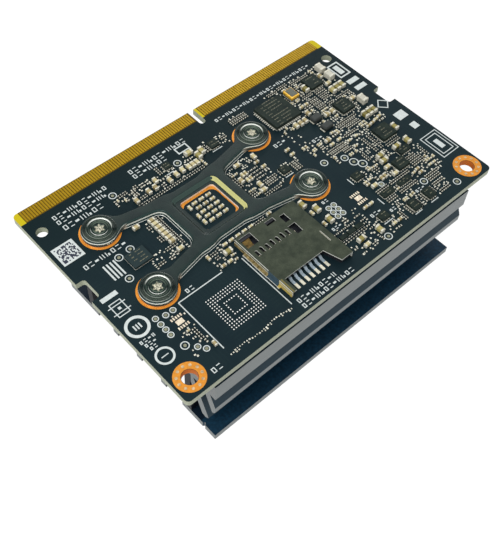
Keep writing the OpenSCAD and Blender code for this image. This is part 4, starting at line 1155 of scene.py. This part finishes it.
smallLook = {
    "margin": 0.08 * mm,
    "socketMargins": (0.2, 0.3, 0.2, 0.2),
    "plateMargin": 0.5,
    "ringReach": 3.65,
    "blockSize": 2.6 * mm,
    "partLength": 0.72 * mm,
    "partWidth": 0.36 * mm,
    "stepAlong": 0.96 * mm,
    "stepAcross": 0.60 * mm,
    "chain": ((-24.8, -20.5), (-12.0, -20.4)),
    "chainStep": 0.46 * mm,
    "chainWave": (0.4, 0.16 * mm, 0.1 * mm),
    "chainRow": 0.36 * mm,
    "chainDot": (0.16, 0.27),
    "standing": ["unfitted_chip_pads", "unfitted_array_pads", "test_point_rings", "printed_outlines",
                 "printed_marks", "printed_lines", "code_label", "fixing_hole_rings", "crystal",
                 "network_controller", "power_controllers", "logic_chips", "diode_arrays",
                 "power_inductors", "window_capacitors", "rear_capacitors", "left_capacitors",
                 "centre_capacitors", "right_capacitors", "bulk_capacitors", "output_capacitors",
                 "rear_resistors", "left_resistors", "centre_resistors", "right_rear_resistors",
                 "right_front_resistors"],
    "zones": [(18.6, -2.0, 30.0, 16.6, 0.9), (14.8, -4.6, 20.4, 2.0, 0.8), (19.6, -9.0, 24.4, -2.0, 0.7),
              (14.6, -10.2, 20.0, -7.6, 0.8), (14.6, -20.6, 26.4, -10.0, 0.85),
              (26.4, -16.6, 29.2, -9.8, 0.8), (12.2, -0.6, 14.4, 6.4, 0.35), (6.0, -0.6, 10.0, 2.0, 0.8),
              (11.4, 6.6, 15.0, 8.4, 0.5), (16.0, 15.2, 19.0, 16.8, 0.7), (6.2, 15.0, 10.6, 16.4, 0.7),
              (3.0, -21.0, 9.4, -16.8, 0.5), (9.2, -21.0, 13.4, -15.4, 0.5), (2.8, -16.4, 9.6, -13.0, 0.6),
              (-17.6, 10.2, -2.6, 14.6, 0.8), (-20.4, 12.6, -17.4, 15.0, 0.4),
              (-19.4, -1.4, -15.9, 7.0, 0.8), (-23.4, -1.6, -19.0, 1.4, 0.55),
              (-29.6, -17.6, -25.3, -7.6, 0.5), (-16.0, -8.4, -11.7, -4.0, 0.75),
              (-1.8, -1.2, 5.0, 7.6, 0.6), (-0.8, 11.8, 4.4, 15.0, 0.5)],
    "mix": {"film": 5, "cream": 3, "bare": 3},
    "scale": (0.8, 1.15),
    "fill": 0.88,
    "heights": {"film": 0.2 * mm, "cream": 0.34 * mm, "bare": 0.04 * mm},
    "drift": 0.07 * mm,
    "dotTries": 3.5,
    "dotSize": (0.18, 0.34),
    "dotHeight": 0.04 * mm,
    "body": (0.25, 0.45, 0.05),
    "endFrom": 0.22,
    "wobble": 0.05,
    "kinds": {"film": (0.9, 1, "film", "resistor_body"), "cream": (1, 0.96, "cream", "capacitor_tan"),
              "bare": (1, 0, "film", "bare_pads"), "dot": (0, 0, "film", "bare_pads")},
}


def planOfBoard():
    plan = GroundPlan()
    for nodeName in smallLook["standing"]:
        margin = smallLook["margin"]
        for low, high in islandsOf(nodeName):
            plan.take(low.x - margin, low.y - margin, high.x + margin, high.y + margin)
    low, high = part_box("socket_shell")
    left, front, right, rear = (m * mm for m in smallLook["socketMargins"])
    plan.take(low.x - left, low.y - front, high.x + right, high.y + rear)
    return plan


# The corners of a small part if its place is clear of the backplate and its rings, else nothing
def cornersAt(x, y, size):
    point = (x / mm, y / mm)
    if plateField(point) < smallLook["plateMargin"] or earDistance(point) < smallLook["ringReach"]:
        return None
    return (x - size[0] / 2, y - size[1] / 2, x + size[0] / 2, y + size[1] / 2)


# Short rows of small parts that lie either way, block by block in each zone
def fillZones(dice, plan, kinds):
    look = smallLook
    for lowX, lowY, highX, highY, share in look["zones"]:
        blockX, blockY = [max(1, round((b - a) * mm / look["blockSize"]))
                          for a, b in ((lowX, highX), (lowY, highY))]
        sizeX, sizeY = (highX - lowX) * mm / blockX, (highY - lowY) * mm / blockY
        for i in range(blockX * blockY):
            startX = lowX * mm + (i % blockX) * sizeX
            startY = lowY * mm + (i // blockX) * sizeY
            common = dice.choices(list(look["mix"]), list(look["mix"].values()))[0]
            across = dice.random() < 0.5
            scale = dice.uniform(*look["scale"])
            step = [look["stepAlong"] * scale, look["stepAcross"] * scale]
            span = [look["partLength"] * scale, look["partWidth"] * scale]
            if across:
                step.reverse()
                span.reverse()
            for column in range(int(sizeX / step[0])):
                for row in range(int(sizeY / step[1])):
                    x = startX + (column + 0.5) * step[0]
                    y = startY + (row + 0.5) * step[1]
                    corners = cornersAt(x, y, span)
                    if not corners or dice.random() > share * look["fill"] or not plan.isFree(*corners):
                        continue
                    plan.take(*corners)
                    kind = dice.choice((common, common, common, "film", "cream"))
                    drift = [dice.uniform(-look["drift"], look["drift"]) for axis in (0, 1)]
                    kinds[kind].append(((x + drift[0], y + drift[1], boardTop), math.pi / 2 if across else 0,
                                        (max(span), min(span), look["heights"][kind])))


# Single pads in what is left of the zones, and a wavy chain of them along the front
def addDots(dice, plan, dots):
    look = smallLook
    for lowX, lowY, highX, highY, share in look["zones"]:
        for i in range(int((highX - lowX) * (highY - lowY) * share * look["dotTries"])):
            x, y = dice.uniform(lowX, highX) * mm, dice.uniform(lowY, highY) * mm
            size = [dice.uniform(*look["dotSize"]) * mm for axis in (0, 1)]
            corners = cornersAt(x, y, size)
            if corners and plan.isFree(*corners):
                plan.take(*corners)
                dots.append(((x, y, boardTop), 0, (*size, look["dotHeight"])))
    first, last = [Vector(place) * mm for place in look["chain"]]
    count = int((last - first).length / look["chainStep"])
    pace, swing, jitter = look["chainWave"]
    for i in range(count):
        place = first.lerp(last, i / count)
        for row in range(dice.choice((1, 1, 1, 2))):
            size = dice.uniform(*look["chainDot"]) * mm
            shift = math.sin(i * pace) * swing + dice.uniform(-jitter, jitter) - row * look["chainRow"]
            dots.append(((place.x, place.y + shift, boardTop), 0, (size, size, look["dotHeight"])))


# Small parts between the named ones, each kind one piece
def makeSmallParts():
    dice = random.Random(11)
    plan = planOfBoard()
    spots = {kind: [] for kind in smallLook["kinds"]}
    fillZones(dice, plan, spots)
    addDots(dice, plan, spots["dot"])
    reach, half, foot = smallLook["body"]
    for kind, (endHeight, bodyHeight, finish, slotName) in smallLook["kinds"].items():
        mesh = bmesh.new()
        if bodyHeight:
            addBox(mesh, (-reach, -half, foot), (reach, half, bodyHeight))
        if endHeight:
            addEnds(mesh, smallLook["endFrom"], endHeight)
        else:
            addBox(mesh, (-0.5, -0.5, 0), (0.5, 0.5, 1), tin=1.0)
        scatterPart("small" + kind.capitalize() + "Parts", mesh, spots[kind], finish, slotName,
                    wobble=smallLook["wobble"], seed=5)
    return {kind: len(places) for kind, places in spots.items()}


print("small parts:", makeSmallParts())


leadShape = {
    "pitch": 0.5 * mm,
    "length": 0.26 * mm,
    "width": 0.18 * mm,
    "height": 0.12 * mm,
    "round": 0.08,
    "tucked": 0.3,
    "cornerGap": 0.15 * mm,
    "sideShare": 0.7,
    "noneUpTo": -15 * mm,
}


# Tinned leads along the sides of the chips
def makeLeads():
    pitch, length = leadShape["pitch"], leadShape["length"]
    span = (length, leadShape["width"], leadShape["height"])
    spots = []
    for low, high in islandsOf("power_controllers") + islandsOf("logic_chips"):
        middle, size = (low + high) / 2, high - low
        for axis, other in ((0, 1), (1, 0)):
            if high.x < leadShape["noneUpTo"] or size[other] < size[axis] * leadShape["sideShare"]:
                continue
            count = int((size[other] - 2 * leadShape["cornerGap"]) / pitch) + 1
            for i in range(2 * count):
                side = -1 if i < count else 1
                place = [0, 0, low.z]
                place[axis] = middle[axis] + side * (size[axis] / 2 + length * (0.5 - leadShape["tucked"]))
                place[other] = middle[other] + (i % count - (count - 1) / 2) * pitch
                spots.append((place, axis * math.pi / 2, span))
    mesh = bmesh.new()
    addBox(mesh, (-0.5, -0.5, 0), (0.5, 0.5, 1), leadShape["round"], tin=1.0)
    scatterPart("chipLeads", mesh, spots, "film", "contact_tin", seed=7)
    return len(spots)


print("leads:", makeLeads())


markLook = {
    "rise": 0.012 * mm,
    "stroke": 0.16 * mm,
    "rowStep": 0.75 * mm,
    "gap": 0.14 * mm,
    "bar": (0.12, 0.5),
    "printed": 0.75,
    "left": 0.2,
    "right": 0.25,
    "leastHeight": 0.3 * mm,
}


# Plain bars in rows on the chips' tops
def makeChipMarks():
    look = markLook
    dice = random.Random(4)
    mesh = bmesh.new()
    for nodeName in ("network_controller", "power_controllers", "logic_chips"):
        for low, high in islandsOf(nodeName):
            width, depth, height = high - low
            rows = max(2, int(depth / look["rowStep"])) if height > look["leastHeight"] else 0
            for row in range(rows):
                y = low.y + depth * (row + 0.75) / (rows + 0.5)
                x = low.x + width * look["left"]
                while x < high.x - width * look["right"]:
                    length = dice.uniform(*look["bar"]) * mm
                    if dice.random() < look["printed"]:
                        addBox(mesh, (x, y, high.z), (x + length, y + look["stroke"], high.z + look["rise"]))
                    x += length + look["gap"]
    settle(meshObject("chipMarks", mesh, finishes["chipPrint"]), "print_ink")


makeChipMarks()


crystalShape = {
    "baseTop": 0.24 * mm,
    "bodyFrom": 0.2 * mm,
    "bodyRound": 0.1 * mm,
    "lidRise": 0.06 * mm,
    "lidDepth": 0.1 * mm,
    "lidRound": 0.04 * mm,
    "rim": (0.3 * mm, 0.15 * mm),
}


# A dark base, a gilt body and a grey lid let into its top
def makeCrystal():
    shape = crystalShape
    low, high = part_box("crystal")
    wide, narrow = shape["rim"]
    baseHigh = (high.x, high.y, low.z + shape["baseTop"])
    bodyLow = (low.x, low.y, low.z + shape["bodyFrom"])
    bodyHigh = (high.x, high.y, high.z - shape["lidRise"])
    lidLow = (low.x + wide, low.y + wide, high.z - shape["lidDepth"])
    lidHigh = (high.x - narrow, high.y - narrow, high.z)
    layers = [("crystalBase", low, baseHigh, 0, "black", "package_black"),
              ("crystalBody", bodyLow, bodyHigh, shape["bodyRound"], "gilt", "crystal_gold"),
              ("crystalLid", lidLow, lidHigh, shape["lidRound"], "lid", "contact_tin")]
    for name, start, end, bevel, finish, slotName in layers:
        mesh = bmesh.new()
        addBox(mesh, start, end, bevel)
        settle(meshObject(name, mesh, finishes[finish]), slotName, "crystal")


makeCrystal()


codeShape = {
    "cells": 15,
    "margin": 0.09,
    "filled": 0.5,
    "rise": 0.01 * mm,
}


# A square of cells filled at random, which holds no code
def makeCodeCells():
    dice = random.Random(9)
    low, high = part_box("code_label")
    inset = (high.x - low.x) * codeShape["margin"]
    count = codeShape["cells"]
    stepX, stepY = [(high[i] - low[i] - 2 * inset) / count for i in (0, 1)]
    mesh = bmesh.new()
    for i in range(count * count):
        x = low.x + inset + (i % count) * stepX
        y = low.y + inset + (i // count) * stepY
        if dice.random() < codeShape["filled"]:
            addBox(mesh, (x, y, high.z), (x + stepX, y + stepY, high.z + codeShape["rise"]))
    settle(meshObject("codeCellsDetail", mesh, finishes["ink"]), "print_ink", "code_cells")


makeCodeCells()


padShape = {
    "share": 0.82,
    "sides": 10,
}


# Round pads of an unfitted chip, a little smaller than their seats
def makeBallPads():
    spots = []
    for low, high in islandsOf("unfitted_chip_pads"):
        width = (high.x - low.x) * padShape["share"]
        spots.append(((low + high) / 2, 0, (width, width, high.z - low.z)))
    mesh = bmesh.new()
    bmesh.ops.create_cone(mesh, cap_ends=True, segments=padShape["sides"], radius1=0.5, radius2=0.5,
                          depth=1)
    scatterPart("ballPads", mesh, spots, "copper", "bare_pads", "unfitted_chip_pads", seed=3)


makeBallPads()


footShape = {
    "from": -16.7 * mm,
    "to": -9.7 * mm,
    "width": 0.45 * mm,
    "height": 0.14 * mm,
}


# The narrow brass foot along the socket's left wall
def makeSocketFoot():
    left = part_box("socket_shell")[0].x
    mesh = bmesh.new()
    addBox(mesh, (left, footShape["from"], boardTop),
           (left + footShape["width"], footShape["to"], boardTop + footShape["height"]))
    settle(meshObject("socketFoot", mesh, finishes["shell"]), "shell_steel")


makeSocketFoot()


latchSpringShape = {
    "turns": 7,
    "wire": 0.06 * mm,
    "steps": 12,
    "sides": 6,
}


# A tree that winds a wire into an open coil along Z
def makeCoilTree():
    tree = startTree("coil", {"Turns": "Float", "Radius": "Float", "Length": "Float", "Wire": "Float",
                              "Steps": "Int", "Sides": "Int", "Coating": "Material"}, "Coil")
    given, out = addNode(tree, "NodeGroupInput"), addNode(tree, "NodeGroupOutput")
    winding = addNode(tree, "GeometryNodeCurveSpiral")
    section = addNode(tree, "GeometryNodeCurvePrimitiveCircle")
    tube = addNode(tree, "GeometryNodeCurveToMesh", values={"Fill Caps": True})
    real = addNode(tree, "GeometryNodeRealizeInstances")
    paint = addNode(tree, "GeometryNodeSetMaterial")
    joinNodes(tree, (given, "Turns", winding, "Rotations"), (given, "Radius", winding, "Start Radius"),
              (given, "Radius", winding, "End Radius"), (given, "Length", winding, "Height"),
              (given, "Steps", winding, "Resolution"), (given, "Sides", section, "Resolution"),
              (given, "Wire", section, "Radius"), (winding, 0, tube, "Curve"),
              (section, 0, tube, "Profile Curve"), (tube, 0, real, 0), (real, 0, paint, "Geometry"),
              (given, "Coating", paint, "Material"), (paint, 0, out, "Coil"))
    return tree


# The latch's return spring, held by the socket at one end and pressed by the slider at the other
def makeLatchSpring():
    shape = latchSpringShape
    low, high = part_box("latch_spring")
    middle = (low + high) / 2
    wire = shape["wire"]
    length = high.y - low.y - 2 * wire
    values = {"Turns": float(shape["turns"]), "Radius": (high.z - low.z) / 2 - wire, "Length": length,
              "Wire": wire, "Steps": shape["steps"], "Sides": shape["sides"],
              "Coating": finishes["spring"].material}
    piece = grow("latchSpringDetail", bpy.data.meshes.new("coilHost"), makeCoilTree(), values)
    piece.data.transform(Matrix.Translation((middle.x, low.y + wire, middle.z))
                         @ Matrix.Rotation(-math.pi / 2, 4, "X"))
    smoothFaces(piece, 50)
    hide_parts("latch_spring")
    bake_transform(piece, "slider", "module", (middle.x, low.y, middle.z), (middle.x, high.y, middle.z))


makeLatchSpring()


inductorShape = {
    "inset": 0.08 * mm,
    "clearance": 0.05 * mm,
    "round": 0.22 * mm,
    "foot": 0.5 * mm,
    "footInset": 0.15 * mm,
    "footHeight": 0.3 * mm,
    "footRound": 0.05 * mm,
}


# Dark wound inductors with tin feet
def makeInductors():
    shape = inductorShape
    inset, foot, footInset = shape["inset"], shape["foot"], shape["footInset"]
    mesh = bmesh.new()
    for low, high in islandsOf("power_inductors"):
        addBox(mesh, (low.x + inset, low.y, low.z + shape["clearance"]), (high.x - inset, high.y, high.z),
               shape["round"])
        footTop = low.z + shape["footHeight"]
        for x in (low.x, high.x - foot):
            addBox(mesh, (x, low.y + footInset, low.z), (x + foot, high.y - footInset, footTop),
                   shape["footRound"], tin=1.0)
    settle(meshObject("inductorDetail", mesh, finishes["ferrite"]), "inductor_ferrite", "power_inductors")


makeInductors()
print("chips, leads, crystal and inductors made")


studio = {
    "floorSize": 1.2,
    "floorLevel": 1.1,
    "floorShare": 0.85,
    "worldStrength": 0.6,
    "lamps": [
        ("keyLamp", (-0.22, -0.02, 0.32), 0.20, 0.62),
        ("fillLamp", (0.20, 0.26, 0.30), 0.30, 0.25),
        ("rimLamp", (-0.20, -0.24, 0.16), 0.035, 0.10),
        ("backLamp", (0.24, 0.26, 0.17), 0.05, 0.16),
    ],
}


# White to the camera and in reflections, and softer as a light
def makeStudio():
    scene = bpy.context.scene
    scene.view_settings.view_transform = "Standard"
    scene.world = bpy.data.worlds.new("studioSky")
    scene.world.use_nodes = True
    tree = scene.world.node_tree
    sky = tree.nodes["Background"]
    sky.inputs["Color"].default_value = (1, 1, 1, 1)
    rays = addNode(tree, "ShaderNodeLightPath")
    seen, clear = (addNode(tree, "ShaderNodeMath", {"operation": "MAXIMUM"}) for turn in (0, 1))
    level = addNode(tree, "ShaderNodeMapRange", values={"To Min": studio["worldStrength"], "To Max": 1.0})
    joinNodes(tree, (rays, "Is Camera Ray", seen, 0), (rays, "Is Glossy Ray", seen, 1),
              (seen, 0, clear, 0), (rays, "Is Transmission Ray", clear, 1), (clear, 0, level, "Value"),
              (level, 0, sky, "Strength"))

    f = Finish("paleFloor", Roughness=0.9, Specular_IOR_Level=0.1, Base_Color=(0.9, 0.9, 0.9))
    eye = f.add("ShaderNodeLightPath", output="Is Camera Ray")
    shine = f.add("ShaderNodeLightPath", output="Is Glossy Ray")
    glow = f.add("ShaderNodeEmission", values={"Color": (1, 1, 1), "Strength": studio["floorLevel"]})
    both = f.add("ShaderNodeMixShader", values=[eye.most(shine) * studio["floorShare"],
                                                Wire(f, f.shader.outputs[0]), glow])
    f.tree.links.new(both.socket, f.tree.nodes["Material Output"].inputs["Surface"])
    mesh = bmesh.new()
    bmesh.ops.create_grid(mesh, x_segments=1, y_segments=1, size=studio["floorSize"] / 2)
    floor = meshObject("studioFloor", mesh, f)
    floor.location.z = cadBox[0].z - 0.01 * mm

    for name, place, size, power in studio["lamps"]:
        lamp = bpy.data.lights.new(name, "AREA")
        lamp.size = size
        lamp.energy = power
        holder = bpy.data.objects.new(name, lamp)
        holder.location = place
        away = Vector(place) - Vector((0, 0, boardTop))
        holder.rotation_euler = away.to_track_quat("Z", "Y").to_euler()
        bpy.context.collection.objects.link(holder)


photoView = {
    "place": (-66.9, -65.0, 127.57),
    "target": (-12.72, -11.39, 20.2),
    "roll": 3.66,
    "lens": 54.906,
}


def makeCamera():
    place, target = (Vector(photoView[k]) * mm for k in ("place", "target"))
    data = bpy.data.cameras.new("photoCamera")
    data.lens = photoView["lens"]
    data.clip_start = 0.005
    eye = bpy.data.objects.new("photoCamera", data)
    eye.location = place
    eye.rotation_mode = "QUATERNION"
    level = (target - place).to_track_quat("-Z", "Y")
    eye.rotation_quaternion = level @ Quaternion((0, 0, 1), math.radians(photoView["roll"]))
    bpy.context.collection.objects.link(eye)
    bpy.context.scene.camera = eye


makeStudio()
makeCamera()
print("studio and camera set")
